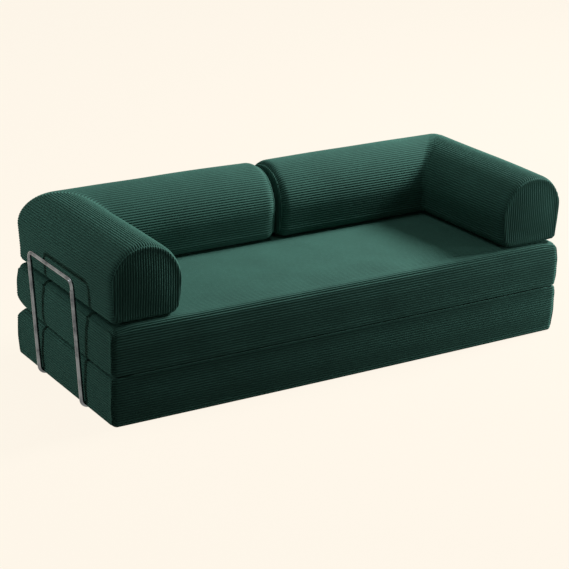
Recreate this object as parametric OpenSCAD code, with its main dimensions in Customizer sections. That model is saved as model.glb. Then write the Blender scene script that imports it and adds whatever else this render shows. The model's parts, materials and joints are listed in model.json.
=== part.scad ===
// Floor sofa bed: two mattress layers joined along the front, two loose L-shaped bolsters on top,
// and four bent tube frames that stand against the sides and the rear.
// Millimetres. +X to the right seen from the front, +Y to the rear, +Z up.
// The origin is on the floor under the middle of the lower layer.

/* [Mattress] */
// Length of the sofa from side to side
sofa_l = 2000; // [1700:10:2400]
// Depth from the front face to the rear face
sofa_d = 820; // [720:10:980]
// Thickness of one layer where it is fullest
layer_t = 195; // [160:5:230]
// Gap between the two layers, which holds the fold tapes
layer_gap = 2; // [1.8:0.1:4]
// Radius of the vertical corners, measured on the layer's outline
corner_r = 44; // [40:1:60]
// Radius of the seat's outer edge
seat_edge_r = 32; // [20:1:34]
// Radius of the edge that meets the floor
floor_edge_r = 22; // [12:1:34]
// Rise of the seat in front of the bolsters
seat_crown = 6; // [0:1:12]
// Forward swell of the front face at mid length
front_swell = 12; // [0:1:20]
// How far the sides pull in at the seam between the layers, at the front
seam_draw_front = 4; // [1:1:12]
// How far the sides pull in at the seam between the layers, at the rear
seam_draw_rear = 26; // [4:1:36]
// How far the sides pull in before the outer edge turns over
side_draw = 4; // [0:1:6]

/* [Bolsters] */
// Width of an arm and of the back
bolster_w = 260; // [200:5:310]
// Height above the mattress
bolster_h = 282; // [220:2:340]
// Height of the upright part of the sides
bolster_side_h = 150; // [90:5:180]
// Radius of the bottom edges
bolster_edge_r = 20; // [10:1:30]
// Radius round the arm's front face
arm_end_r = 20; // [10:1:30]
// Radius round the end of the back at the middle joint
back_end_r = 34; // [15:1:45]
// Swell of each end face
end_swell = 4; // [0:1:8]
// How much lower the top is at the two ends
end_droop = 5; // [0:1:10]
// How far the arm's front face stands behind the mattress's front face
bolster_setback = 8; // [0:1:30]
// Gap between the two bolsters at the middle of the back
middle_gap = 3; // [1:0.5:10]
// Softening of the outer rear corner
rear_corner_soft = 30; // [10:1:45]

/* [Covers and filling] */
// Thickness of the corduroy cover
cover_t = 1.5; // [1:0.1:3]
// Thickness of the wadding wrapped round the foam
wadding_t = 10; // [5:1:20]
// Clearance between the cover, the wadding and the foam
fill_gap = 0.3; // [0.2:0.1:1]
// Clearance between soft pieces of different bodies
soft_gap = 0.3; // [0.3:0.1:1]
// Thickness of the non-slip cloth under the mattress
base_cloth_t = 1; // [0.8:0.1:2]
// Thickness of one fold tape
fold_tape_t = 0.8; // [0.5:0.1:0.8]
// Width of one fold tape
fold_tape_w = 45; // [30:1:80]

/* [Tube frames] */
// Outside diameter of the tube of the feet and legs
tube_d = 18; // [14:1:21]
// Wall of the tubes
tube_wall = 1.5; // [1:0.1:2.5]
// Radius of the bends on the tubes' centre line
bend_r = 26; // [22:1:32]
// Distance between a frame's two legs, centre to centre
frame_w = 356; // [250:2:450]
// Height of the top bar's centre line
frame_h = 500; // [430:5:560]
// Distance from the mattress's side to the leg's centre line at the floor
stand_off = 18; // [14:1:30]
// Distance from the hoop's bends down to the sockets that it plugs into
socket_drop = 10; // [4:1:60]
// Length of the hoop inside each socket
socket_l = 45; // [30:1:80]
// Clearance between the hoop and the legs' bore
socket_gap = 0.1; // [0.05:0.05:0.3]
// Length of the feet under the mattress
foot_l = 280; // [200:5:340]
// Distance of a rear frame's centre from the middle of the sofa
rear_frame_x = 450; // [300:10:600]
// Clearance round a foot in its groove
groove_gap = 0.5; // [0.4:0.1:2]
// Thickness of an end cap's head
cap_t = 2; // [1:0.5:5]
// Length of an end cap's plug
plug_l = 12; // [6:1:20]
// Clearance between the plug and the tube's bore
plug_gap = 0.1; // [0.05:0.05:0.3]

/* [Zips] */
// Width of the zip's tape
zip_tape_w = 24; // [18:1:28]
// Thickness of the zip's tape
zip_tape_t = 0.8; // [0.5:0.1:1.2]
// Width of the closed teeth
zip_teeth_w = 5; // [3:0.5:7]
// Height of the teeth above the tape
zip_teeth_h = 1.2; // [0.8:0.1:2]
// Distance from the mattress's sides to the ends of the zips
zip_margin = 150; // [100:5:250]
// Length of the slider
slider_l = 12; // [9:1:16]
// Width of the slider
slider_w = 9; // [8:0.5:12]
// Height of the slider above the tape
slider_h = 4.2; // [3.5:0.1:6]
// Length of the pull from its eye
pull_l = 24; // [18:1:32]
// Width of the pull
pull_w = 7; // [5:0.5:9]
// Thickness of the pull
pull_t = 1.4; // [1:0.1:2]
// Diameter of the pin that carries the pull
pull_pin_d = 1.6; // [1.2:0.1:2]
// Clearance of the slider round the teeth, and of the pull on its pin
zip_gap = 0.2; // [0.1:0.05:0.4]

/* [Hidden] */

// Facets of a full circle
$fn = 48;

// Colours as the photo shows them
corduroy = [0.13, 0.26, 0.22];
wadding_white = [0.93, 0.93, 0.90];
foam_cream = [0.94, 0.88, 0.66];
base_grey = [0.16, 0.17, 0.18];
tape_green = [0.08, 0.17, 0.14];
bright_steel = [0.78, 0.80, 0.80];
cap_black = [0.05, 0.05, 0.05];
zip_dark = [0.07, 0.13, 0.11];

// One overrun for every cut
over = 1;

// Heights of the layers' faces above the floor
lower_top = layer_t;
upper_bottom = layer_t + layer_gap;
seat_z = upper_bottom + layer_t;
bolster_z = seat_z - seat_crown + soft_gap;

// Heights of the two covers: the lower one lies on its base cloth, and the seat's crown is extra
lower_h = layer_t - base_cloth_t;
upper_h = layer_t - seat_crown;

// Insets from a cover's outer face to the faces inside it
wadding_in = cover_t + fill_gap;
wadding_out = wadding_in + wadding_t;
foam_in = wadding_out + fill_gap;

// The seat between the arms and in front of the back
seat_half_l = sofa_l / 2 - bolster_w;
seat_rear_y = sofa_d / 2 - bolster_w;
front_y = front_swell - sofa_d / 2;

// How an outline is divided: steps of each corner and shares along the long and short sides
fine_steps = 3;
coarse_steps = 1;
fine_long_shares = [1/6, 2/6, 3/6, 4/6, 5/6];
coarse_long_shares = [1/2];
short_shares = [1/4, 2/4, 3/4];
// The sharpest that a corner inside a cover gets, as a share of the outer corner's radius
least_corner_share = 0.1;

// A rectangle with round corners, anticlockwise from above: [x, y, direction of the outward normal]
function outline(half_l, y_front, y_rear, r, fine) =
    let (steps = fine ? fine_steps : coarse_steps)
    let (corners = [
        [half_l - r, y_front + r, -90],
        [half_l - r, y_rear - r, 0],
        [r - half_l, y_rear - r, 90],
        [r - half_l, y_front + r, 180]
    ])
    let (arcs = [for (c = corners) [for (k = [0:steps]) let (a = c[2] + 90 * k / steps)
        [c[0] + r * cos(a), c[1] + r * sin(a), a]]])
    [for (i = [0:3])
        let (here = arcs[i][steps])
        let (next = arcs[(i + 1) % 4][0])
        let (shares = i % 2 == 0 ? short_shares : fine ? fine_long_shares : coarse_long_shares)
        each concat(arcs[i], [for (s = shares)
            [here[0] + (next[0] - here[0]) * s, here[1] + (next[1] - here[1]) * s, here[2]]])];

// How far the side pulls in at the seam, at a place from the front to the rear
function seam_draw(y) =
    seam_draw_front + (seam_draw_rear - seam_draw_front) * pow(max(0, y / sofa_d + 1/2), 2);

// The front swells forward at mid length, and the rear stays straight
function swelled(x, y) = y - front_swell * (1 - pow(2 * x / sofa_l, 2)) * (1/2 - y / sofa_d);

// One ring round a layer: near the seam every point of its outline moves in along its own normal
function layer_ring(z, seam_share, inset, fine) =
    let (r = max(corner_r - inset, corner_r * least_corner_share))
    [for (p = outline(sofa_l / 2 - inset, front_y + inset, sofa_d / 2 - inset, r, fine))
        let (d = seam_share * seam_draw(p[1]))
        let (x = p[0] - d * cos(p[2]))
        let (y = p[1] - d * sin(p[2]))
        [x, swelled(x, y), z]];

// One ring on the seat, inside the line where the bolsters stand
function seat_ring(z, inset, edge, fine) =
    [for (p = outline(seat_half_l - inset, front_y + edge + inset, seat_rear_y - inset, bolster_edge_r, fine))
        [p[0], swelled(p[0], p[1]), z]];

// Where a layer's side rings lie: share of the height, share of the pull at the seam
side_ring_shares = [[0, 1], [0.1, 0.6], [0.25, 0.2], [0.42, 0], [0.58, 0]];
// Where the zip runs on that side, as a share of the height
zip_band_share = 0.5;
// The seat's rings: share of the crown at each share of the seat's half depth
crown_ring_shares = [[0.02, 0], [0.22, 0.75], [0.55, 1]];
edge_angles = [0, 30, 60, 90];

// A layer as a closed form of one height, its seam face at z = 0 and its outer face on top.
// The inset gives the faces inside the cover, and a form that isn't fine has no crown.
module layer_form(height, edge_r, crown, inset, fine) {
    squeeze_share = (height - 2 * inset) / height;
    top_z = height - inset;
    mid_y = (front_y + sofa_d / 2) / 2;
    rise = fine ? crown : 0;
    seat_half_d = (seat_rear_y - front_y) / 2;
    sides = [for (s = side_ring_shares)
        layer_ring(inset + s[0] * height * squeeze_share, s[1], inset, fine)];
    edges = [for (a = edge_angles)
        layer_ring(
            inset + (height - edge_r * (1 - sin(a))) * squeeze_share, 0,
            inset + side_draw + edge_r * (1 - cos(a)), fine)];
    seat = rise == 0 ? [] : [for (s = crown_ring_shares)
        seat_ring(top_z + s[1] * rise, s[0] * seat_half_d, edge_r + side_draw + inset, fine)];
    ring_solid(concat(sides, edges, seat), [0, mid_y, inset], [0, mid_y, top_z + rise]);
}

// A closed solid from rings of points, each anticlockwise seen from the end, with a pole at each end
module ring_solid(rings, first_pole, last_pole) {
    n = len(rings[0]);
    count = len(rings);
    points = concat([for (r = rings) each r], [first_pole, last_pole]);
    skin = [for (i = [0:count - 2]) for (k = [0:n - 1])
        let (a = i * n + k)
        let (b = i * n + (k + 1) % n)
        each [[a, a + n, b + n], [a, b + n, b]]];
    first_cap = [for (k = [0:n - 1]) [n * count, k, (k + 1) % n]];
    last_cap = [for (k = [0:n - 1]) let (base = n * (count - 1))
        [n * count + 1, base + (k + 1) % n, base + k]];
    polyhedron(points, concat(skin, first_cap, last_cap));
}

// The lower layer's form stands on the base cloth, seam face up
module lower_form(inset, fine) {
    translate([0, 0, lower_top])
        mirror([0, 0, 1])
            layer_form(lower_h, floor_edge_r, 0, inset, fine);
}

// The upper layer's form lies on the seam
module upper_form(inset, fine) {
    translate([0, 0, upper_bottom]) layer_form(upper_h, seat_edge_r, seat_crown, inset, fine);
}

// A channel for one foot, from outside the mattress inwards along -Y, grown by a wall.
// Its top is half of a polygon that goes round the foot.
channel_sides = 8;
module foot_channel(wall) {
    r = tube_d / 2 + groove_gap + wall;
    half_turn = 180 / channel_sides;
    depth = foot_l + cap_t + groove_gap + wall;
    translate([0, over, tube_d / 2]) rotate([90, 0, 0]) linear_extrude(depth + over) union() {
        rotate(half_turn) circle(r = r / cos(half_turn), $fn = channel_sides);
        translate([-r, -tube_d / 2 - over]) square([2 * r, tube_d / 2 + over]);
    }
}

// The same channel under every foot of the four frames
module foot_channels(wall) {
    for (leg = [-1, 1]) {
        for (side = [-1, 1]) {
            translate([side * sofa_l / 2, leg * frame_w / 2, 0])
                rotate(-90 * side) foot_channel(wall);
            translate([side * rear_frame_x + leg * frame_w / 2, sofa_d / 2, 0]) foot_channel(wall);
        }
    }
}

module lower_cover() {
    color(corduroy) difference() {
        lower_form(0, true);
        foot_channels(0);
        difference() {
            lower_form(cover_t, true);
            foot_channels(cover_t);
        }
    }
}

module lower_wadding() {
    color(wadding_white) difference() {
        lower_form(wadding_in, false);
        foot_channels(wadding_in);
        difference() {
            lower_form(wadding_out, false);
            foot_channels(wadding_out);
        }
    }
}

module lower_foam() {
    color(foam_cream) difference() {
        lower_form(foam_in, false);
        foot_channels(foam_in);
    }
}

// The cloth covers the flat of the underside and is slit for the feet
module lower_base_cloth() {
    edge = floor_edge_r + side_draw;
    half_l = sofa_l / 2 - edge;
    color(base_grey) difference() {
        translate([-half_l, front_y + edge, 0])
            cube([2 * half_l, sofa_d / 2 - front_y - 2 * edge, base_cloth_t]);
        foot_channels(0);
    }
}

// The tape reaches from the seam out to the fold line at the front face
module fold_tape(z) {
    half_l = sofa_l / 2 - corner_r;
    tape_rear = front_y + fold_tape_w;
    steps = len(fine_long_shares) + 1;
    front = [for (k = [0:steps]) let (x = half_l * (2 * k / steps - 1)) [x, swelled(x, front_y)]];
    color(tape_green) translate([0, 0, z]) linear_extrude(fold_tape_t)
        polygon(concat(front, [[half_l, tape_rear], [-half_l, tape_rear]]));
}

module upper_cover() {
    color(corduroy) difference() {
        upper_form(0, true);
        upper_form(cover_t, true);
    }
}

module upper_wadding() {
    color(wadding_white) difference() {
        upper_form(wadding_in, false);
        upper_form(wadding_out, false);
    }
}

module upper_foam() {
    color(foam_cream) upper_form(foam_in, false);
}

// Section of a bolster, outer side first: [distance across from the outer face, height]
top_steps = 8;
function bolster_section(inset, droop) =
    let (w = bolster_w - 2 * inset)
    let (side = bolster_side_h - inset)
    let (top = bolster_h - bolster_side_h - inset - droop)
    let (r = max(bolster_edge_r - inset, fill_gap))
    [for (p = concat(
        [for (a = [270, 240, 210, 180]) [r + r * cos(a), r + r * sin(a)]],
        [for (k = [0:top_steps]) let (a = 180 - 180 * k / top_steps)
            [w / 2 + w / 2 * cos(a), side + top * sin(a)]],
        [for (a = [0, -30, -60, -90]) [w - r + r * cos(a), r + r * sin(a)]]))
        [p[0] + inset, p[1] + inset]];

// One ring of the left bolster: the section stands between an outer and an inner point of the plan
function bolster_ring(outer, inner, shrink, inset, droop) =
    [for (p = bolster_section(inset, droop))
        let (mid = bolster_w / 2)
        let (half_h = bolster_h / 2)
        let (across = (mid + (p[0] - mid) * (1 - shrink / mid)) / bolster_w)
        let (up = half_h + (p[1] - half_h) * (1 - shrink / half_h))
        [outer[0] + (inner[0] - outer[0]) * across, outer[1] + (inner[1] - outer[1]) * across, up]];

// How an end face curls over: [distance behind the face, shrink of the section]
end_angles = [0, 45, 90];
end_face_share = 0.45;
function end_rings(r) = concat(
    [[end_swell * end_face_share, r + bolster_w / 2 * end_face_share]],
    [for (a = end_angles) [end_swell + r * (1 - cos(a)), r * (1 - sin(a))]]);

arm_front_y = front_y + bolster_setback;
back_end_x = -middle_gap / 2;
outer_x = -sofa_l / 2;
outer_y = sofa_d / 2;
inner_x = outer_x + bolster_w;
inner_y = outer_y - bolster_w;
// Share of the corner's softening that the mitre itself is drawn in by
mitre_share = 0.3;
// Where the rings beside the mitre meet the inner faces, as a share of that softening
mitre_inner_share = 0.3;

// The left bolster as a closed form that stands on z = 0: the arm from the front, then the back
module bolster_form(inset) {
    soft = rear_corner_soft;
    in = soft * mitre_inner_share;
    arm_end = end_rings(arm_end_r);
    back_end = end_rings(back_end_r);
    arm = [for (e = arm_end) let (y = arm_front_y + inset + e[0])
        bolster_ring([outer_x, y], [inner_x, y], e[1], inset, end_droop)];
    arm_mid_y = (arm_front_y + inner_y) / 2;
    corner = [
        bolster_ring([outer_x, arm_mid_y], [inner_x, arm_mid_y], 0, inset, 0),
        bolster_ring([outer_x, outer_y - soft], [inner_x, inner_y - in], 0, inset, 0),
        bolster_ring(
            [outer_x + soft * mitre_share, outer_y - soft * mitre_share],
            [inner_x, inner_y], 0, inset, 0),
        bolster_ring([outer_x + soft, outer_y], [inner_x + in, inner_y], 0, inset, 0)
    ];
    back_mid_x = (inner_x + back_end_x) / 2;
    back = concat(
        [bolster_ring([back_mid_x, outer_y], [back_mid_x, inner_y], 0, inset, 0)],
        [for (i = [len(back_end) - 1:-1:0])
            let (e = back_end[i])
            let (x = back_end_x - inset - e[0])
            bolster_ring([x, outer_y], [x, inner_y], e[1], inset, end_droop)]);
    mid_h = bolster_h / 2;
    ring_solid(
        concat(arm, corner, back),
        [(outer_x + inner_x) / 2, arm_front_y + inset, mid_h],
        [back_end_x - inset, (outer_y + inner_y) / 2, mid_h]);
}

// Pieces are drawn for the left side (-1), and the right side (1) is their mirror image
module on_side(side) {
    if (side > 0) {
        mirror([1, 0, 0]) children();
    } else {
        children();
    }
}

// Puts a piece of a bolster on the seat
module on_seat(side) {
    translate([0, 0, bolster_z]) on_side(side) children();
}

module bolster_cover(side) {
    color(corduroy) on_seat(side) difference() {
        bolster_form(0);
        bolster_form(cover_t);
    }
}

module bolster_wadding(side) {
    color(wadding_white) on_seat(side) difference() {
        bolster_form(wadding_in);
        bolster_form(wadding_out);
    }
}

// All that lies past the mitre plane, towards the back (1) or towards the arm (-1).
// The plane runs from the inner corner of the L to its outer corner.
module past_mitre(way) {
    reach = sofa_l;
    shift = way > 0 ? -fill_gap / 2 : fill_gap / 2 - reach;
    translate([inner_x, inner_y, -over]) rotate(45)
        translate([shift, -reach / 2, 0]) cube([reach, reach, bolster_h + 2 * over]);
}

module arm_foam(side) {
    color(foam_cream) on_seat(side) difference() {
        bolster_form(foam_in);
        past_mitre(1);
    }
}

module back_foam(side) {
    color(foam_cream) on_seat(side) difference() {
        bolster_form(foam_in);
        past_mitre(-1);
    }
}

// A tube's section, a straight run along +Z, and a bend from +Z towards +X.
// What follows a run or a bend is its child, and starts at its end.
module tube_section(d) {
    difference() {
        circle(d = d);
        circle(d = d - 2 * tube_wall);
    }
}

module tube_run(d, length) {
    linear_extrude(length) tube_section(d);
    translate([0, 0, length]) children();
}

module tube_bend(d, turn) {
    translate([bend_r, 0, 0]) {
        rotate([90, 0, 180]) difference() {
            rotate_extrude(angle = 90) translate([bend_r, 0]) tube_section(d);
            if (turn < 90) {
                rotate(turn) translate([0, 0, -d]) cube([2 * bend_r, 2 * bend_r, 2 * d]);
            }
        }
        rotate([0, turn, 0]) translate([-bend_r, 0, 0]) children();
    }
}

// The legs lean away from the mattress as the long side of a right triangle does that has
// sides of 237, 3116 and 3125: its sine and cosine are round numbers
lean_shares = [237 / 3125, 3116 / 3125];
lean = atan(lean_shares[0] / lean_shares[1]);
// Distance along the lean from the feet's centre line to the top bar's
leg_axis_l = (frame_h - tube_d / 2) / lean_shares[1];
// The bend between foot and leg turns through this, and takes this much of each
foot_turn = 90 - lean;
foot_cut = bend_r * tan(foot_turn / 2);
// The hoop's tube slides into the legs'
hoop_d = tube_d - 2 * tube_wall - 2 * socket_gap;
hoop_drop = bend_r + socket_drop;

// The two bent tubes of a frame. The feet lie along +X, the legs lean towards -X, and the
// centre lines of feet and legs would meet on the Y axis.
module frame_legs() {
    color(bright_steel) for (leg = [-1, 1]) {
        translate([foot_l + stand_off, leg * frame_w / 2, tube_d / 2]) rotate([0, -90, 0])
            tube_run(tube_d, foot_l + stand_off - foot_cut)
            tube_bend(tube_d, foot_turn)
            tube_run(tube_d, leg_axis_l - foot_cut - hoop_drop);
    }
}

// The hoop between the legs: one thinner tube, bent at both ends of the top bar
module frame_hoop() {
    color(bright_steel) translate([0, 0, tube_d / 2]) rotate([0, -lean, 0])
        translate([0, -frame_w / 2, leg_axis_l - hoop_drop - socket_l]) rotate(90)
            tube_run(hoop_d, socket_l + socket_drop)
            tube_bend(hoop_d, 90)
            tube_run(hoop_d, frame_w - 2 * bend_r)
            tube_bend(hoop_d, 90)
            tube_run(hoop_d, socket_l + socket_drop);
}

// The two end caps of a frame, each a head with a plug
module frame_caps() {
    plug_d = tube_d - 2 * tube_wall - 2 * plug_gap;
    color(cap_black) for (leg = [-1, 1]) {
        translate([foot_l + stand_off, leg * frame_w / 2, tube_d / 2]) rotate([0, 90, 0]) {
            cylinder(d = tube_d, h = cap_t);
            translate([0, 0, -plug_l]) cylinder(d = plug_d, h = plug_l + cap_t);
        }
    }
}

// Stands a frame against the left (-1) or right (1) side, feet under the mattress
module at_side(side) {
    on_side(side) translate([-sofa_l / 2 - stand_off, 0, 0]) children();
}

// Stands a frame behind the left (-1) or right (1) half of the back
module at_rear(side) {
    translate([side * rear_frame_x, sofa_d / 2 + stand_off, 0]) rotate(-90) children();
}

// The zips lie on upright faces that look along +Y: the origin is on the face, at the zip's left end
module zip(length) {
    stop_l = zip_teeth_w;
    color(zip_dark) translate([0, 0, -zip_tape_w / 2]) union() {
        cube([length, zip_tape_t, zip_tape_w]);
        translate([stop_l, 0, (zip_tape_w - zip_teeth_w) / 2])
            cube([length - 2 * stop_l, zip_tape_t + zip_teeth_h, zip_teeth_w]);
    }
}

// The slider rides over the teeth, with two ears and the pin between them
ear_t = pull_pin_d;
pin_y = zip_tape_t + zip_gap + slider_h + pull_pin_d + zip_gap;
eye_d = 2 * pull_pin_d + 2 * zip_gap;
eye_w = slider_w - 2 * ear_t - 2 * zip_gap;
module zip_slider() {
    tunnel_w = zip_teeth_w + 2 * zip_gap;
    tunnel_h = zip_tape_t + zip_teeth_h + zip_gap;
    base_y = zip_tape_t + zip_gap;
    color(bright_steel) {
        difference() {
            translate([-slider_l / 2, base_y, -slider_w / 2]) cube([slider_l, slider_h, slider_w]);
            translate([-slider_l / 2 - over, 0, -tunnel_w / 2])
                cube([slider_l + 2 * over, tunnel_h, tunnel_w]);
            // The round of the pull's eye turns in this hollow
            translate([0, pin_y, 0])
                cylinder(d = eye_d + 2 * zip_gap, h = eye_w + 2 * zip_gap, center = true);
        }
        for (ear = [-1, 1]) translate([0, 0, ear * (slider_w - ear_t) / 2]) {
            translate([-eye_d / 2, base_y + slider_h / 2, -ear_t / 2])
                cube([eye_d, pin_y - base_y - slider_h / 2, ear_t]);
            translate([0, pin_y, 0]) cylinder(d = eye_d, h = ear_t, center = true);
        }
        translate([0, pin_y, 0]) cylinder(d = pull_pin_d, h = slider_w - ear_t, center = true);
    }
}

// The pull lies along the zip, towards its closed end
module zip_pull() {
    color(bright_steel) translate([0, pin_y, 0]) difference() {
        union() {
            cylinder(d = eye_d, h = eye_w, center = true);
            translate([-eye_d, -pull_t / 2, -eye_w / 2]) cube([eye_d, pull_t, eye_w]);
            translate([-pull_l, -pull_t / 2, -pull_w / 2]) cube([pull_l - eye_d, pull_t, pull_w]);
        }
        cylinder(d = pull_pin_d + 2 * zip_gap, h = eye_w + 2 * over, center = true);
    }
}

// Where the zips run, and where their sliders stand when they are closed
layer_zip_l = sofa_l - 2 * zip_margin;
bolster_zip_l = back_end_x - outer_x - 2 * zip_margin;
closed_x = slider_l;
bolster_zip_share = 0.3;
bolster_zip_z = bolster_side_h * bolster_zip_share + bolster_edge_r / 2;

module on_lower_rear() {
    translate([zip_margin - sofa_l / 2, sofa_d / 2, lower_top - lower_h * zip_band_share]) children();
}

module on_upper_rear() {
    translate([zip_margin - sofa_l / 2, sofa_d / 2, upper_bottom + upper_h * zip_band_share]) children();
}

module on_bolster_rear(side) {
    on_seat(side) translate([outer_x + zip_margin, outer_y, bolster_zip_z]) children();
}

lower_cover();
lower_wadding();
lower_foam();
lower_base_cloth();
fold_tape(lower_top);  // lower_fold_tape
on_lower_rear() zip(layer_zip_l);  // lower_zip
on_lower_rear() translate([closed_x, 0, 0]) zip_slider();  // lower_zip_slider
on_lower_rear() translate([closed_x, 0, 0]) zip_pull();  // lower_zip_pull
upper_cover();
upper_wadding();
upper_foam();
fold_tape(upper_bottom - fold_tape_t);  // upper_fold_tape
on_upper_rear() zip(layer_zip_l);  // upper_zip
on_upper_rear() translate([closed_x, 0, 0]) zip_slider();  // upper_zip_slider
on_upper_rear() translate([closed_x, 0, 0]) zip_pull();  // upper_zip_pull
bolster_cover(-1);  // left_bolster_cover
bolster_wadding(-1);  // left_bolster_wadding
arm_foam(-1);  // left_arm_foam
back_foam(-1);  // left_back_foam
on_bolster_rear(-1) zip(bolster_zip_l);  // left_bolster_zip
on_bolster_rear(-1) translate([closed_x, 0, 0]) zip_slider();  // left_bolster_zip_slider
on_bolster_rear(-1) translate([closed_x, 0, 0]) zip_pull();  // left_bolster_zip_pull
bolster_cover(1);  // right_bolster_cover
bolster_wadding(1);  // right_bolster_wadding
arm_foam(1);  // right_arm_foam
back_foam(1);  // right_back_foam
on_bolster_rear(1) zip(bolster_zip_l);  // right_bolster_zip
on_bolster_rear(1) translate([closed_x, 0, 0]) zip_slider();  // right_bolster_zip_slider
on_bolster_rear(1) translate([closed_x, 0, 0]) zip_pull();  // right_bolster_zip_pull
at_side(-1) frame_hoop();  // left_side_frame_hoop
at_side(-1) frame_legs();  // left_side_frame_legs
at_side(-1) frame_caps();  // left_side_frame_caps
at_side(1) frame_hoop();  // right_side_frame_hoop
at_side(1) frame_legs();  // right_side_frame_legs
at_side(1) frame_caps();  // right_side_frame_caps
at_rear(-1) frame_hoop();  // left_rear_frame_hoop
at_rear(-1) frame_legs();  // left_rear_frame_legs
at_rear(-1) frame_caps();  // left_rear_frame_caps
at_rear(1) frame_hoop();  // right_rear_frame_hoop
at_rear(1) frame_legs();  // right_rear_frame_legs
at_rear(1) frame_caps();  // right_rear_frame_caps
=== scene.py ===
"""Looks of a floor sofa bed in ribbed cloth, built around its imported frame.

Each padded cover is a closed surface worked out with numpy: a wrap of cloth whose ribs run
along the piece, and a panel at each end whose ribs stand upright, sewn together at a sunken
seam. Lengths are in metres, in the frame's own axes: +X to the right, +Y to the rear, +Z up.
"""

from __future__ import annotations

import json
import logging
import math
from dataclasses import dataclass, field
from enum import Enum

import bmesh
import bpy
import numpy as np
from mathutils import Matrix, Vector

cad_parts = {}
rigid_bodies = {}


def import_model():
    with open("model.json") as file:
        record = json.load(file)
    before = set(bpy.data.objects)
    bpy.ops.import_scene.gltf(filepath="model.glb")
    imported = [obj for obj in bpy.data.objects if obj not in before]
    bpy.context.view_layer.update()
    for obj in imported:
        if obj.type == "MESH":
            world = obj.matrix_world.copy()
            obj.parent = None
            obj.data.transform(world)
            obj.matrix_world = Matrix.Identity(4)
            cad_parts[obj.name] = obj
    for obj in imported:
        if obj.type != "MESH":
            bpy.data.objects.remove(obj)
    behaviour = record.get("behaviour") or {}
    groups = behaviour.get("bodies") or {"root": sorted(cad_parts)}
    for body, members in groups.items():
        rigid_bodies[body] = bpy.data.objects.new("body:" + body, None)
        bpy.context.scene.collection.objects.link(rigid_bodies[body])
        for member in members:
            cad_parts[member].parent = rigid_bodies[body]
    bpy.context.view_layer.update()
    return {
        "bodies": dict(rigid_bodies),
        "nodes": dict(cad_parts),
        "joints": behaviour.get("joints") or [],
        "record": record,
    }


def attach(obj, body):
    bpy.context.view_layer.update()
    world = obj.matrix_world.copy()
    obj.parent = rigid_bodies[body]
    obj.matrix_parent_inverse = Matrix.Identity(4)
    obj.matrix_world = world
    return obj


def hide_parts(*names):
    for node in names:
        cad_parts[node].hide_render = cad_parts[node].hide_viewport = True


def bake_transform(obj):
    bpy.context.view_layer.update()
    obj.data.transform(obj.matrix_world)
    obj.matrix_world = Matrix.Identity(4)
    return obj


Pair = tuple[float, float]
Triple = tuple[float, float, float]
Colour = Triple
Socket = bpy.types.NodeSocket

LOG = logging.getLogger("sofa_bed")
BLACK = (0.0, 0.0, 0.0, 1.0)
# Shares of a panel's height at which its rows lie next to the seam.
NEAR_EDGE = np.array([0.0, 0.009, 0.02, 0.04, 0.07, 0.11, 0.16])
# How full a rib is: the exponent on its sine wave, in the shape and in the finish alike.
RIB_FULLNESS = 0.85
# Half of the stretch of a section over which its direction is measured.
WALK_REACH = 0.002


class Side(Enum):
    """The left or the right half of the sofa bed, seen from the front."""

    LEFT = -1
    RIGHT = 1


class Fineness(Enum):
    """How closely a padded form is divided: for ribbed cloth, for wadding, or for the stuffing."""

    CLOTH = "cloth"
    WADDING = "wadding"
    CAGE = "cage"


def smooth_step(low: float, high: float, value: np.ndarray) -> np.ndarray:
    """Rise from 0 at low to 1 at high along 3t^2 - 2t^3."""
    t = np.clip((value - low) / (high - low), 0.0, 1.0)
    return t * t * (3.0 - 2.0 * t)


def bell(distance: np.ndarray, width: float) -> np.ndarray:
    """Fall from 1 at no distance along exp(-(distance / width)^2)."""
    return np.exp(-((distance / width) ** 2))


def walk(line: np.ndarray, shares: np.ndarray) -> tuple[np.ndarray, np.ndarray]:
    """Find points and outward normals on a closed line that is walked clockwise.

    The normal is the walking direction turned left, from points WALK_REACH before and after.

    Args:
        line: Points of the closed line, without a repeat of the first one.
        shares: Places on the line as shares of its length.

    Returns:
        The points and their unit normals.
    """
    closed = np.vstack([line, line[:1]])
    run = np.concatenate([[0.0], np.cumsum(np.linalg.norm(np.diff(closed, axis=0), axis=1))])

    def at(places: np.ndarray) -> np.ndarray:
        """Points at distances along the line."""
        return np.stack([np.interp(places % run[-1], run, closed[:, k]) for k in (0, 1)], axis=-1)

    places = shares * run[-1]
    along = at(places + WALK_REACH) - at(places - WALK_REACH)
    along /= np.linalg.norm(along, axis=1, keepdims=True)
    return at(places), np.stack([-along[:, 1], along[:, 0]], axis=-1)


def line_length(line: np.ndarray) -> float:
    """Length of a closed line through points."""
    return float(np.linalg.norm(np.roll(line, -1, axis=0) - line, axis=1).sum())


def column_limits(ring: np.ndarray, at: np.ndarray) -> tuple[np.ndarray, np.ndarray]:
    """Find where upright lines enter and leave a closed ring.

    Args:
        ring: Points (across, up) of the ring.
        at: Places across, inside the ring.

    Returns:
        The lowest and the highest crossing of each upright line.
    """
    last = np.roll(ring, -1, axis=0)
    span = last[:, 0] - ring[:, 0]
    span = np.where(np.abs(span) < 1e-9, np.nan, span)
    share = (at[:, None] - ring[None, :, 0]) / span[None, :]
    up = ring[None, :, 1] + share * (last[:, 1] - ring[:, 1])[None, :]
    up = np.where((share >= 0.0) & (share <= 1.0), up, np.nan)
    return np.nanmin(up, axis=1), np.nanmax(up, axis=1)


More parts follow.
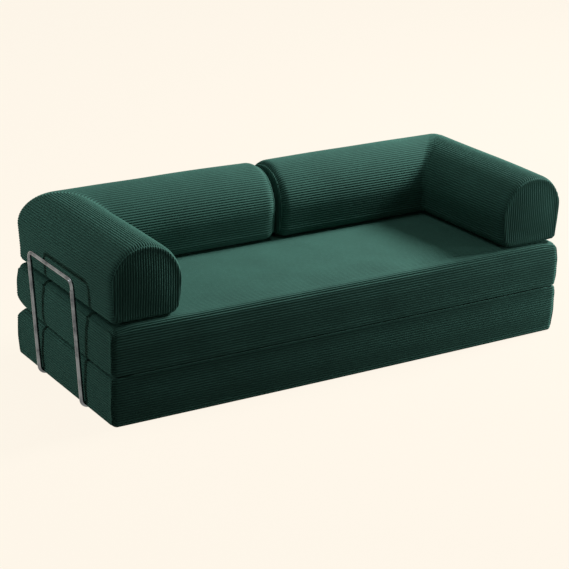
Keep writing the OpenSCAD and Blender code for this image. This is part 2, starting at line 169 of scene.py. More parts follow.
def near_ring(points: np.ndarray, ring: np.ndarray) -> tuple[np.ndarray, np.ndarray]:
    """Find the distance from points to a closed ring, and the place on it that is nearest.

    Args:
        points: Points (across, up), in rows.
        ring: Points of the closed ring.

    Returns:
        The distances, and the places as shares of the ring's number of points.
    """
    side = (np.roll(ring, -1, axis=0) - ring)[None]
    away = points[:, None, :] - ring[None]
    share = np.clip((away * side).sum(-1) / np.maximum((side**2).sum(-1), 1e-12), 0.0, 1.0)
    gap = np.linalg.norm(away - share[..., None] * side, axis=-1)
    best = gap.argmin(axis=1)
    row = np.arange(len(points))
    return gap[row, best], ((best + share[row, best]) / len(ring)) % 1.0


def depth_inside(points: np.ndarray, ring: np.ndarray) -> np.ndarray:
    """Distance from points inside a ring to it, rounded off where its sides meet.

    Near the ring it is the distance to the nearest side. Further in it is
    (sum of side length / distance^5 / (4/3)) ^ (-1/4), which is the distance from a
    straight side and has no crease between two sides.

    Args:
        points: Points (across, up), in any shape of array.
        ring: Points of the closed ring.

    Returns:
        The distances, in the shape of the points' array.
    """
    flat = points.reshape(-1, 2)
    side = np.roll(ring, -1, axis=0) - ring
    nearest = near_ring(flat, ring)[0]
    middle = np.maximum(np.linalg.norm(flat[:, None] - (ring + side / 2)[None], axis=-1), 1e-4)
    rounded = ((np.linalg.norm(side, axis=-1) / middle**5).sum(axis=1) * 0.75) ** -0.25
    mixed = smooth_step(0.004, 0.014, nearest)
    return (nearest + (rounded - nearest) * mixed).reshape(points.shape[:-1])


def spline_shares(index: np.ndarray, count: int, closed: bool) -> np.ndarray:
    """Shares of coarse values in a finer row, by the uniform cubic B-spline.

    Args:
        index: Place of each fine value, counted in coarse ones.
        count: Number of coarse values.
        closed: Whether the row closes on itself.

    Returns:
        One row of shares for each fine value.
    """
    base = np.floor(index).astype(int)
    t = index - base
    cubic = np.stack(
        [(1 - t) ** 3, 3 * t**3 - 6 * t**2 + 4, -3 * t**3 + 3 * t**2 + 3 * t + 1, t**3], -1) / 6
    cols = base[:, None] + np.arange(-1, 3)
    cols = cols % count if closed else np.clip(cols, 0, count - 1)
    shares = np.zeros((len(index), count))
    np.add.at(shares, (np.arange(len(index))[:, None], cols), cubic)
    return shares


def spread(coarse: np.ndarray, down: np.ndarray, across: np.ndarray, closed: bool) -> np.ndarray:
    """Spread a coarse grid of values over a finer one, by cubic B-splines both ways.

    Args:
        coarse: The coarse values.
        down: Place of each fine row, counted in coarse ones.
        across: Place of each fine column, counted in coarse ones.
        closed: Whether each row closes on itself.

    Returns:
        The fine values.
    """
    rows, cols = coarse.shape
    return spline_shares(down, rows, False) @ coarse @ spline_shares(across, cols, closed).T


def dents(points: np.ndarray, seed: int, longest: float = 0.45) -> np.ndarray:
    """Soft unevenness from -1 to 1: twice the mean of waves of seeded direction and length.

    Args:
        points: Points in space.
        seed: Seed of the waves.
        longest: Longest wave, and the shortest is a third of it.

    Returns:
        One value for each point.
    """
    count = 8
    random = np.random.default_rng(seed)
    waves = random.normal(size=(count, 3))
    length = random.uniform(longest / 3, longest, count)
    waves *= (2 * np.pi / length / np.linalg.norm(waves, axis=1))[:, None]
    phase = random.uniform(0, 2 * np.pi, count)
    return np.clip(np.cos(points @ waves.T + phase).mean(axis=-1) * 2.0, -1.0, 1.0)


def lift(points: np.ndarray, height: np.ndarray, closed: bool, centre: np.ndarray) -> np.ndarray:
    """Move a grid's points along their normals.

    The normal is the cross product of the differences along rows and columns, turned so
    that on the whole it points away from the centre.

    Args:
        points: Grid of points.
        height: How far each point moves.
        closed: Whether each row closes on itself.
        centre: A point inside the form.

    Returns:
        The moved points.
    """
    down = np.gradient(points, axis=0)
    if closed:
        across = (np.roll(points, -1, axis=1) - np.roll(points, 1, axis=1)) / 2
    else:
        across = np.gradient(points, axis=1)
    normal = np.cross(down, across)
    normal /= np.maximum(np.linalg.norm(normal, axis=-1, keepdims=True), 1e-12)
    if float(np.sum(normal * (points - centre))) < 0.0:
        normal = -normal
    return points + normal * height[..., None]


@dataclass(frozen=True)
class Corduroy:
    """The ribbed cloth's relief, ribs with narrow lines between them, and its seams.

    Where the ribs are left out, the cloth lies flat_share of their depth below their tops. A
    seam presses seam_flatness of their height flat.
    """

    pitch: float = 0.010
    depth: float = 0.0030
    samples: int = 5
    fullness: float = RIB_FULLNESS
    flat_share: float = 0.4
    seam_depth: float = 0.0012
    seam_width: float = 0.0032
    seam_gap: float = 0.0010
    seam_flatness: float = 0.85

    def ribs(self, count: np.ndarray, kept: np.ndarray) -> np.ndarray:
        """Height over the ribs' tops: |sin(pi count)| ** fullness is 0 in a line and 1 on a rib.

        Args:
            count: Place across the cloth, counted in ribs.
            kept: Share of the ribs' height that is left there.

        Returns:
            Heights, 0 on a rib's top and negative below it.
        """
        ridge = np.abs(np.sin(np.pi * count)) ** self.fullness
        return -self.depth * ((1.0 - ridge) * kept + self.flat_share * (1.0 - kept))


@dataclass
class Patch:
    """A grid of points with its cloth coordinates: ribs across and metres along.

    The bump is the share of the ribs that the points leave to the finish.
    """

    points: np.ndarray
    cloth: np.ndarray
    bump: np.ndarray


@dataclass
class Sewing:
    """Joins patches into one closed mesh."""

    points: list[np.ndarray] = field(default_factory=list)
    cloth: list[np.ndarray] = field(default_factory=list)
    bump: list[np.ndarray] = field(default_factory=list)
    quads: list[np.ndarray] = field(default_factory=list)
    corners: list[np.ndarray] = field(default_factory=list)
    count: int = 0

    def add(self, patch: Patch, closed: bool = False) -> np.ndarray:
        """Add a grid of points and the squares between them.

        Args:
            patch: The grid.
            closed: Whether each row closes on itself.

        Returns:
            The points' numbers in the mesh, in the grid's shape.
        """
        rows, cols = patch.points.shape[:2]
        number = self.count + np.arange(rows * cols).reshape(rows, cols)
        self.points.append(patch.points.reshape(-1, 3))
        self.cloth.append(patch.cloth.reshape(-1, 2))
        self.bump.append(patch.bump.reshape(-1))
        wide = np.hstack([number, number[:, :1]]) if closed else number
        self.quads.append(np.stack(
            [wide[:-1, :-1], wide[:-1, 1:], wide[1:, 1:], wide[1:, :-1]], -1).reshape(-1, 4))
        self.count += rows * cols
        return number

    def cap(self, strip: np.ndarray) -> None:
        """Close the end of a closed strip by joining its first half to its second half."""
        half = len(strip) // 2
        back = strip[::-1]
        self.quads.append(np.stack(
            [strip[:half - 1], strip[1:half], back[1:half], back[:half - 1]], -1))

    def sew(self, first: np.ndarray, last: np.ndarray, first_place: np.ndarray,
            last_place: np.ndarray) -> None:
        """Close the gap between two rings with triangles.

        Each step of one ring is joined to the point that the other ring has reached at the
        step's middle, so the two may have different numbers of points.

        Args:
            first: Numbers of the first ring's points.
            last: Numbers of the second ring's points.
            first_place: Place of each of the first ring's points, as a share of the way round.
            last_place: Place of each of the second ring's points.
        """
        rings = []
        for ring, place in ((first, first_place), (last, last_place)):
            order = np.argsort(place, kind="stable")
            ahead = np.roll(place[order], -1)
            ahead[-1] += 1.0
            rings.append((ring[order], (place[order] + ahead) / 2))
        for own, other, side in ((rings[0], rings[1], "left"), (rings[1], rings[0], "right")):
            wide = np.concatenate([other[1] - 1.0, other[1], other[1] + 1.0])
            reached = np.searchsorted(wide, own[1], side=side) % len(other[0])
            self.corners.append(np.stack([own[0], np.roll(own[0], -1), other[0][reached]], -1))

    def mesh(self, name: str, merged: bool = True) -> bpy.types.Object:
        """Make the object, with all faces pointing outwards.

        Args:
            name: The piece's name.
            merged: Whether points that lie together become one.

        Returns:
            The new object, at the origin.
        """
        quads = np.vstack(self.quads)
        corners = np.vstack(self.corners) if self.corners else np.zeros((0, 3), int)
        loops = np.concatenate([quads.ravel(), corners.ravel()])
        sizes = np.concatenate([np.full(len(quads), 4), np.full(len(corners), 3)])
        data = bpy.data.meshes.new(name)
        data.vertices.add(self.count)
        data.vertices.foreach_set("co", np.vstack(self.points).astype(np.float32).ravel())
        data.loops.add(len(loops))
        data.loops.foreach_set("vertex_index", loops.astype(np.int32))
        data.polygons.add(len(sizes))
        data.polygons.foreach_set("loop_start", (np.cumsum(sizes) - sizes).astype(np.int32))
        data.polygons.foreach_set("loop_total", sizes.astype(np.int32))
        data.update(calc_edges=True)
        layer = data.uv_layers.new(name="Cloth")
        layer.data.foreach_set("uv", np.vstack(self.cloth)[loops].astype(np.float32).ravel())
        bump = data.attributes.new("Bump", "FLOAT", "POINT")
        bump.data.foreach_set("value", np.concatenate(self.bump).astype(np.float32))
        shaped = bmesh.new()
        shaped.from_mesh(data)
        if merged:
            bmesh.ops.remove_doubles(shaped, verts=shaped.verts, dist=1e-5)
        bmesh.ops.recalc_face_normals(shaped, faces=shaped.faces)
        shaped.to_mesh(data)
        shaped.free()
        data.polygons.foreach_set("use_smooth", np.ones(len(data.polygons), bool))
        piece = bpy.data.objects.new(name, data)
        bpy.context.scene.collection.objects.link(piece)
        return piece


def swept(name: str, x: np.ndarray, y: np.ndarray, z: np.ndarray,
          axes: list[int]) -> bpy.types.Object:
    """Make a closed bar along X from the outline of its section.

    Args:
        name: The piece's name.
        x: Places of the sections.
        y: Depths of the outline's points, for all sections alike or for each.
        z: Heights of the outline's points.
        axes: The two axes that the cloth's coordinates follow.

    Returns:
        The bar, closed at both ends.
    """
    points = np.stack(np.broadcast_arrays(x[:, None], y, z), axis=-1)
    sewing = Sewing()
    number = sewing.add(Patch(points, points[..., axes], np.zeros(points.shape[:2])), closed=True)
    sewing.cap(number[0])
    sewing.cap(number[-1])
    return sewing.mesh(name, merged=False)


@dataclass(frozen=True)
class Stuffing:
    """How a cover is blown up from inside so that its cloth swells between its seams."""

    pressure: float = 4.0
    frames: int = 16
    stiffness: float = 10.0
    most_percent: float = 98.0

    def swelling(self, cage: bpy.types.Object, held: np.ndarray) -> np.ndarray:
        """Run the cloth simulation on a closed cage and take the cage away again.

        Args:
            cage: The coarse closed form.
            held: Share from 0 to 1 by which each point is held where it is.

        Returns:
            How far each point moved outwards, as a share from 0 to 1 of the most.
        """
        group = cage.vertex_groups.new(name="held")
        tenths = np.round(held * 10).astype(int)
        for tenth in np.unique(tenths):
            group.add(np.flatnonzero(tenths == tenth).tolist(), float(tenth) / 10, "REPLACE")
        cloth = cage.modifiers.new("stuffing", "CLOTH")
        cloth.settings.vertex_group_mass = "held"
        cloth.settings.tension_stiffness = self.stiffness
        cloth.settings.compression_stiffness = self.stiffness
        cloth.settings.use_pressure = True
        cloth.settings.uniform_pressure_force = self.pressure
        cloth.settings.effector_weights.gravity = 0.0
        cloth.collision_settings.use_collision = False
        cloth.point_cache.frame_end = self.frames
        rest = np.zeros(len(cage.data.vertices) * 3, np.float32)
        normal = np.zeros_like(rest)
        moved = np.zeros_like(rest)
        cage.data.vertices.foreach_get("co", rest)
        cage.data.vertices.foreach_get("normal", normal)
        for frame in range(1, self.frames + 1):
            bpy.context.scene.frame_set(frame)
        shaped = cage.evaluated_get(bpy.context.evaluated_depsgraph_get())
        shaped.data.vertices.foreach_get("co", moved)
        bpy.context.scene.frame_set(1)
        bpy.data.objects.remove(cage)
        out = ((moved - rest) * normal).reshape(-1, 3).sum(axis=1)
        most = float(np.percentile(out, self.most_percent))
        LOG.info("stuffing moved the cloth by %.1f mm before it was scaled", most * 1000)
        return np.clip(out / max(most, 1e-6), 0.0, 1.0)


@dataclass
class Rows:
    """The rows of a wrap from one end of a form to the other.

    For each row: place along the form, how far its section is drawn in as a share of a
    whole turn, its end, and the running length over the cloth.
    """

    along: np.ndarray
    drawn: np.ndarray
    run: np.ndarray


@dataclass
class EndPanel:
    """The grid of an end's panel.

    It holds the points in space and on the section, their distance from the seam, the rows'
    shares of the height, and the place across of the panel's middle.
    """

    points: np.ndarray
    flat: np.ndarray
    depth: np.ndarray
    rise: np.ndarray
    middle: float


@dataclass
class PaddedForm:
    """A padded form with a wrap along it and a panel at each end.

    A subclass gives its section, how the section runs along the piece, and how its ends
    turn over. The section is walked so that its outward side lies on the left. The cage is the
    coarse form for the stuffing, and cage_ribs and cage_step are its distances round and along.
    """

    name: str
    seed: int = 1
    cloth: Corduroy = Corduroy()
    seam_turn: float = math.radians(52.0)
    swell: float = 0.003
    dent: float = 0.0007
    row_step: float = 0.022
    cage_step: float = 0.034
    cage_ribs: int = 3
    quick_swell: float = 0.7
    wadding_inset: float = 0.012
    seam_rows: tuple[float, ...] = (0.0, 0.0014, 0.003)
    next_row: float = 0.0055
    draw_from: float = 0.45
    rim_gap: float = 0.0004
    panel_rise: float = 0.85
    held_rim: float = 0.02
    free_rise: float = 0.06
    even_seam: float = 0.2
    least_ribs: float = 0.02

    def section(self) -> np.ndarray:
        """Points (across, up) of the closed section."""
        raise NotImplementedError

    def length(self) -> float:
        """Length along the middle of the form, between its two end faces."""
        raise NotImplementedError

    def end_radius(self, end: int) -> float:
        """How far along the form an end turns over."""
        raise NotImplementedError

    def face_swell(self) -> float:
        """How far the middle of an end face stands in front of its edge."""
        raise NotImplementedError

    def draw_sizes(self, end: int) -> Triple:
        """How far the sides, the underside and the top draw in over a whole turn."""
        raise NotImplementedError

    def straight_rows(self, first: float, last: float, fineness: Fineness) -> np.ndarray:
        """Places along the form of the rows between its two turned ends."""
        raise NotImplementedError

    def place(self, across: np.ndarray, up: np.ndarray, along: np.ndarray,
              inset: float) -> np.ndarray:
        """Points in space of section points at places along the form."""
        raise NotImplementedError

    def centre(self) -> np.ndarray:
        """A point inside the form."""
        raise NotImplementedError

    def free(self, points: np.ndarray) -> np.ndarray:
        """Share from 0 to 1 by which the stuffing may move the cloth at each point."""
        raise NotImplementedError

    def ribbed(self, normal: np.ndarray) -> np.ndarray:
        """Share from 0 to 1 by which the section's points carry real ribs."""
        raise NotImplementedError

    def trim(self, points: np.ndarray, flat: np.ndarray) -> np.ndarray:
        """Extra height of welts and seams on the wrap."""
        raise NotImplementedError

    def mark_across(self) -> np.ndarray:
        """Extra places, in shares of the section's length, where the wrap needs points."""
        return np.zeros(0)

    def seam_share(self, up: np.ndarray) -> np.ndarray:
        """Share from 0 to 1 by which the ends' seam sinks in, at heights on the section."""
        return self.even_seam + 0.0 * up

    def panel_ribs(self, flat: np.ndarray, middle: float) -> np.ndarray:
        """Place across an end panel's cloth, counted in ribs. They stand upright."""
        return (flat[..., 0] - middle) / self.cloth.pitch

    def panel_lines(self, low: float, high: float, height: float) -> tuple[np.ndarray, np.ndarray]:
        """Places across and shares of the height of an end panel's grid for ribbed cloth.

        Args:
            low: Left edge of the panel.
            high: Its right edge.
            height: Its greatest height. Not used here.

        Returns:
            The places of the columns and the shares of the rows.
        """
        middle, step = (low + high) / 2, self.cloth.pitch / self.cloth.samples
        reach, least = math.floor((high - middle) / step), 0.0003
        across = middle + np.arange(-reach, reach + 1) * step
        across = across[(across > low + least) & (across < high - least)]
        rise = np.concatenate([NEAR_EDGE, np.linspace(0.23, 0.77, 7), 1.0 - NEAR_EDGE[::-1]])
        return np.concatenate([[low], across, [high]]), rise

    def mirror(self) -> float:
        """Return -1 where left and right are swapped at the end, and 1 elsewhere."""
        return 1.0

    def rib_count(self) -> int:
        """Number of ribs round the section, an even one, so that a line runs along its middle."""
        return 2 * round(line_length(self.section()) / self.cloth.pitch / 2)

    def shares(self, fineness: Fineness) -> np.ndarray:
        """Places round the section where the wrap has points.

        Args:
            fineness: What the wrap is for.

        Returns:
            Rising shares of the section's length.
        """
        count = self.rib_count()
        if fineness is Fineness.CAGE:
            return np.arange(count // self.cage_ribs) / (count // self.cage_ribs)
        if fineness is Fineness.WADDING:
            even = np.arange(count // 2) * 2 / count
        else:
            ribs = np.arange(count)
            real = self.ribbed(walk(self.section(), (ribs + 0.5) / count)[1]) > self.least_ribs
            within = np.arange(self.cloth.samples) / self.cloth.samples
            fine = (ribs[real][:, None] + within).ravel()
            even = np.concatenate([fine, ribs[~real & (ribs % 2 == 0)]]) / count
        return np.unique(np.round(np.concatenate([even, self.mark_across()]), 6))

    def rows(self, fineness: Fineness) -> Rows:
        """Rows of the wrap, closer together where an end turns over.

        Args:
            fineness: What the wrap is for.

        Returns:
            The rows from the first seam to the last.
        """
        along, drawn, radius = [], [], []
        for end in (0, 1):
            size = self.end_radius(end)
            if fineness is Fineness.CAGE:
                turn = np.linspace(self.seam_turn, 0.0, 4)[:-1]
            else:
                near = self.seam_turn - np.array(self.seam_rows) / size
                rest = np.linspace(self.seam_turn - self.next_row / size, 0.0, 6)[:-1]
                turn = np.concatenate([near, rest])
            along.append(self.face_swell() + size * (1.0 - np.sin(turn)))
            drawn.append(1.0 - np.cos(turn))
            radius.append(size)
        straight = self.straight_rows(
            self.face_swell() + radius[0], self.length() - self.face_swell() - radius[1], fineness)
        place = np.concatenate([along[0], straight, self.length() - along[1][::-1]])
        share = np.concatenate([drawn[0], np.zeros(len(straight)), drawn[1][::-1]])
        size = np.where(place[1:] < self.length() / 2, *radius)
        step = np.hypot(np.diff(place), np.diff(share) * size)
        return Rows(place, share, np.concatenate([[0.0], np.cumsum(step)]))

    def squeezed(self, line: np.ndarray, drawn: np.ndarray, end: np.ndarray,
                 inset: float) -> np.ndarray:
        """Draw section points in where an end turns over.

        Args:
            line: Points (across, up) of the section.
            drawn: Share of a whole turn, in a shape that spreads over the points.
            end: The end, 0 or 1, in the same shape.
            inset: How far the form lies inside the cover's.

        Returns:
            The points.
        """
        section = self.section()
        low, high = section.min(axis=0), section.max(axis=0)
        pairs = zip(self.draw_sizes(0), self.draw_sizes(1))
        side, below, above = (np.where(end == 0, *pair) * drawn + inset for pair in pairs)
        offset = (line[..., 0] - (low[0] + high[0]) / 2) / ((high[0] - low[0]) / 2)
        share = (line[..., 1] - low[1]) / (high[1] - low[1])
        pull = smooth_step(self.draw_from, 1.0, np.abs(offset))
        across = line[..., 0] - np.sign(offset) * side * pull
        return np.stack([across, line[..., 1] + below * (1.0 - share) - above * share], axis=-1)

    def wrap(self, shares: np.ndarray, rows: Rows, inset: float) -> tuple[np.ndarray, np.ndarray]:
        """Points of the wrap.

        Args:
            shares: Places round the section.
            rows: The rows.
            inset: How far the form lies inside the cover's.

        Returns:
            The grid in space, and the grid of section points.
        """
        line = walk(self.section(), shares)[0]
        end = (rows.along > self.length() / 2).astype(int)[:, None]
        flat = self.squeezed(line[None] + 0.0 * end[..., None], rows.drawn[:, None], end, inset)
        along = inset + rows.along * (1.0 - 2.0 * inset / self.length())
        along = along[:, None] + 0.0 * flat[..., 0]
        return self.place(flat[..., 0], flat[..., 1], along, inset), flat

    def seam_ring(self, end: int, inset: float, count: int = 360) -> np.ndarray:
        """The section points of the seam round an end's panel."""
        line, normal = walk(self.section(), np.arange(count) / count)
        drawn = self.squeezed(line, np.array(1.0 - math.cos(self.seam_turn)), np.array(end), inset)
        return drawn - normal * self.cloth.seam_gap

    def panel(self, end: int, fineness: Fineness, inset: float) -> EndPanel:
        """Make an end's panel, in upright columns.

        From the seam the panel rises along a quarter ellipse, and its middle swells.

        Args:
            end: 0 for the first end, 1 for the last.
            fineness: What the panel is for.
            inset: How far the form lies inside the cover's.

        Returns:
            The panel.
        """
        ring = self.seam_ring(end, inset)
        low, high = ring[:, 0].min() + self.rim_gap, ring[:, 0].max() - self.rim_gap
        height = ring[:, 1].max() - ring[:, 1].min()
        if fineness is Fineness.CAGE:
            step = self.cage_ribs * self.cloth.pitch
            across = np.linspace(low, high, max(5, round((high - low) / step) + 1))
            rise = np.linspace(0.0, 1.0, max(4, round(height / step)))
        else:
            across, rise = self.panel_lines(low, high, height)
        bottom, top = column_limits(ring, across)
        up = bottom[None] + (top - bottom)[None] * rise[:, None]
        flat = np.stack([across[None] + 0.0 * up, up], axis=-1)
        depth = depth_inside(flat, ring)
        radius = self.end_radius(end)
        width = self.panel_rise * radius * math.cos(self.seam_turn)
        edge = radius * (1.0 - math.sin(self.seam_turn))
        risen = np.sqrt(1.0 - (1.0 - np.clip(depth / width, 0.0, 1.0)) ** 2)
        face = self.face_swell()
        behind = face + edge * (1.0 - risen) - face * smooth_step(0.0, depth.max(), depth)
        along = behind if end == 0 else self.length() - behind
        along = inset + along * (1.0 - 2.0 * inset / self.length())
        points = self.place(flat[..., 0], flat[..., 1], along, inset)
        return EndPanel(points, flat, depth, rise, (low + high) / 2)

    def close_end(self, sewing: Sewing, number: np.ndarray, shares: np.ndarray, panel: EndPanel,
                  panel_number: np.ndarray, end: int, inset: float) -> None:
        """Sew an end's panel into the wrap's first or last row.

        Args:
            sewing: The mesh that is being made.
            number: Numbers of the wrap's points.
            shares: Places of the wrap's points round the section.
            panel: The panel.
            panel_number: Numbers of the panel's points.
            end: 0 for the first end, 1 for the last.
            inset: How far the form lies inside the cover's.
        """
        rim = np.zeros(panel_number.shape, bool)
        rim[[0, -1], :] = True
        rim[:, [0, -1]] = True
        place = near_ring(panel.flat[rim], self.seam_ring(end, inset))[1]
        sewing.sew(number[0 if end == 0 else -1], panel_number[rim], shares, place)

    def plain(self, name: str, fineness: Fineness, inset: float,
              merged: bool) -> tuple[bpy.types.Object, list[np.ndarray]]:
        """Make the form without ribs.

        Args:
            name: The piece's name.
            fineness: What it is for.
            inset: How far it lies inside the cover.
            merged: Whether points that lie together become one.

        Returns:
            The object, and its three grids of points: the wrap and the two panels.
        """
        sewing = Sewing()
        shares = self.shares(fineness)
        points, flat = self.wrap(shares, self.rows(fineness), inset)
        grids = [points]
        number = sewing.add(Patch(points, flat, np.zeros(flat.shape[:2])), closed=True)
        for end in (0, 1):
            panel = self.panel(end, fineness, inset)
            grids.append(panel.points)
            panel_number = sewing.add(Patch(panel.points, panel.flat, np.zeros(panel.depth.shape)))
            self.close_end(sewing, number, shares, panel, panel_number, end, inset)
        return sewing.mesh(name, merged), grids

    def stuffed(self, stuffing: Stuffing) -> list[np.ndarray]:
        """Find how far the stuffing swells each part of the cover.

        Args:
            stuffing: How the cover is blown up.

        Returns:
            A coarse grid of shares from 0 to 1 for the wrap and for each panel.
        """
        cage, grids = self.plain(self.name + "_cage", Fineness.CAGE, 0.0, merged=False)
        held = []
        for k, grid in enumerate(grids):
            share = 1.0 - self.free(grid)
            share[[0, -1], :] = 1.0
            if k > 0:
                share[:, [0, -1]] = 1.0
            held.append(share.ravel())
        moved = stuffing.swelling(cage, np.concatenate(held))
        ends = np.cumsum([grid[..., 0].size for grid in grids])[:-1]
        return [part.reshape(grid.shape[:2]) for part, grid in zip(np.split(moved, ends), grids)]

    def softness(self, points: np.ndarray, swell: np.ndarray, free: np.ndarray) -> np.ndarray:
        """How far the cloth lies below its fullest shape, from its swelling and its dents."""
        return (self.swell * (swell - 1.0) + self.dent * (dents(points, self.seed) - 1.0)) * free

    def relief(self, count: np.ndarray, real: np.ndarray | float, seam: np.ndarray,
               soft: np.ndarray) -> np.ndarray:
        """Height of the cloth over its fullest shape.

        Args:
            count: Place across the cloth, counted in ribs.
            real: Share of the ribs that the shape carries.
            seam: Share of the seam's depth.
            soft: How far the softness lowers the cloth, as a negative height.

        Returns:
            The sum of ribs, softness and seam.
        """
        ribs = self.cloth.ribs(count, real * (1.0 - self.cloth.seam_flatness * seam))
        return ribs + soft - self.cloth.seam_depth * seam

    def cover(self, stuffing: Stuffing) -> bpy.types.Object:
        """Make the ribbed cover.

        Args:
            stuffing: How the cover is blown up.

        Returns:
            The cover.
        """
        swollen = self.stuffed(stuffing)
        sewing = Sewing()
        flip = np.array([self.mirror(), 1.0, 1.0])
        shares, rows = self.shares(Fineness.CLOTH), self.rows(Fineness.CLOTH)
        cage = self.rows(Fineness.CAGE).run
        points, flat = self.wrap(shares, rows, 0.0)
        down = np.interp(rows.run / rows.run[-1], cage / cage[-1], np.arange(len(cage)))
        swell = spread(swollen[0], down, shares * swollen[0].shape[1], closed=True)
        count = (shares * self.rib_count())[None] + np.zeros((len(rows.run), 1))
        from_seam = np.minimum(rows.run, rows.run[-1] - rows.run)[:, None]
        seam = bell(from_seam, self.cloth.seam_width) * self.seam_share(flat[..., 1])
        real = self.ribbed(walk(self.section(), shares)[1])[None] + 0.0 * count
        height = self.relief(count, real, seam, self.softness(points, swell, self.free(points)))
        points = lift(points, height + self.trim(points, flat), True, self.centre()) * flip
        cloth = np.stack([count, rows.run[:, None] + 0.0 * count], axis=-1)
        last = cloth[:, :1] + np.array([float(self.rib_count()), 0.0])
        number = sewing.add(Patch(
            np.hstack([points, points[:, :1]]), np.hstack([cloth, last]),
            1.0 - np.hstack([real, real[:, :1]])))
        for end in (0, 1):
            panel = self.panel(end, Fineness.CLOTH, 0.0)
            coarse = swollen[1 + end]
            line = panel.flat[0, :, 0]
            across = (line - line[0]) / (line[-1] - line[0]) * (coarse.shape[1] - 1)
            swell = spread(coarse, panel.rise * (coarse.shape[0] - 1), across, closed=False)
            count = self.panel_ribs(panel.flat, panel.middle)
            seam = bell(panel.depth, self.cloth.seam_width) * self.seam_share(panel.flat[..., 1])
            free = self.free(panel.points) * smooth_step(0.0, self.held_rim, panel.depth)
            height = self.relief(count, 1.0, seam, self.softness(panel.points, swell, free))
            grid = lift(panel.points, height, False, self.centre()) * flip
            cloth = np.stack([count, panel.flat.sum(axis=-1)], axis=-1)
            panel_number = sewing.add(Patch(grid, cloth, np.zeros(count.shape)))
            self.close_end(sewing, number[:, :-1], shares, panel, panel_number, end, 0.0)
        return sewing.mesh(self.name + "_cover")

    def wadding(self) -> bpy.types.Object:
        """Make the wadding under the cover, a softer and plainer form.

        Returns:
            The wadding.
        """
        piece = self.plain(
            self.name + "_filling", Fineness.WADDING, self.wadding_inset, merged=True)[0]
        if self.mirror() < 0.0:
            piece.data.transform(Matrix.Scale(-1.0, 4, (1.0, 0.0, 0.0)))
            piece.data.flip_normals()
        return piece


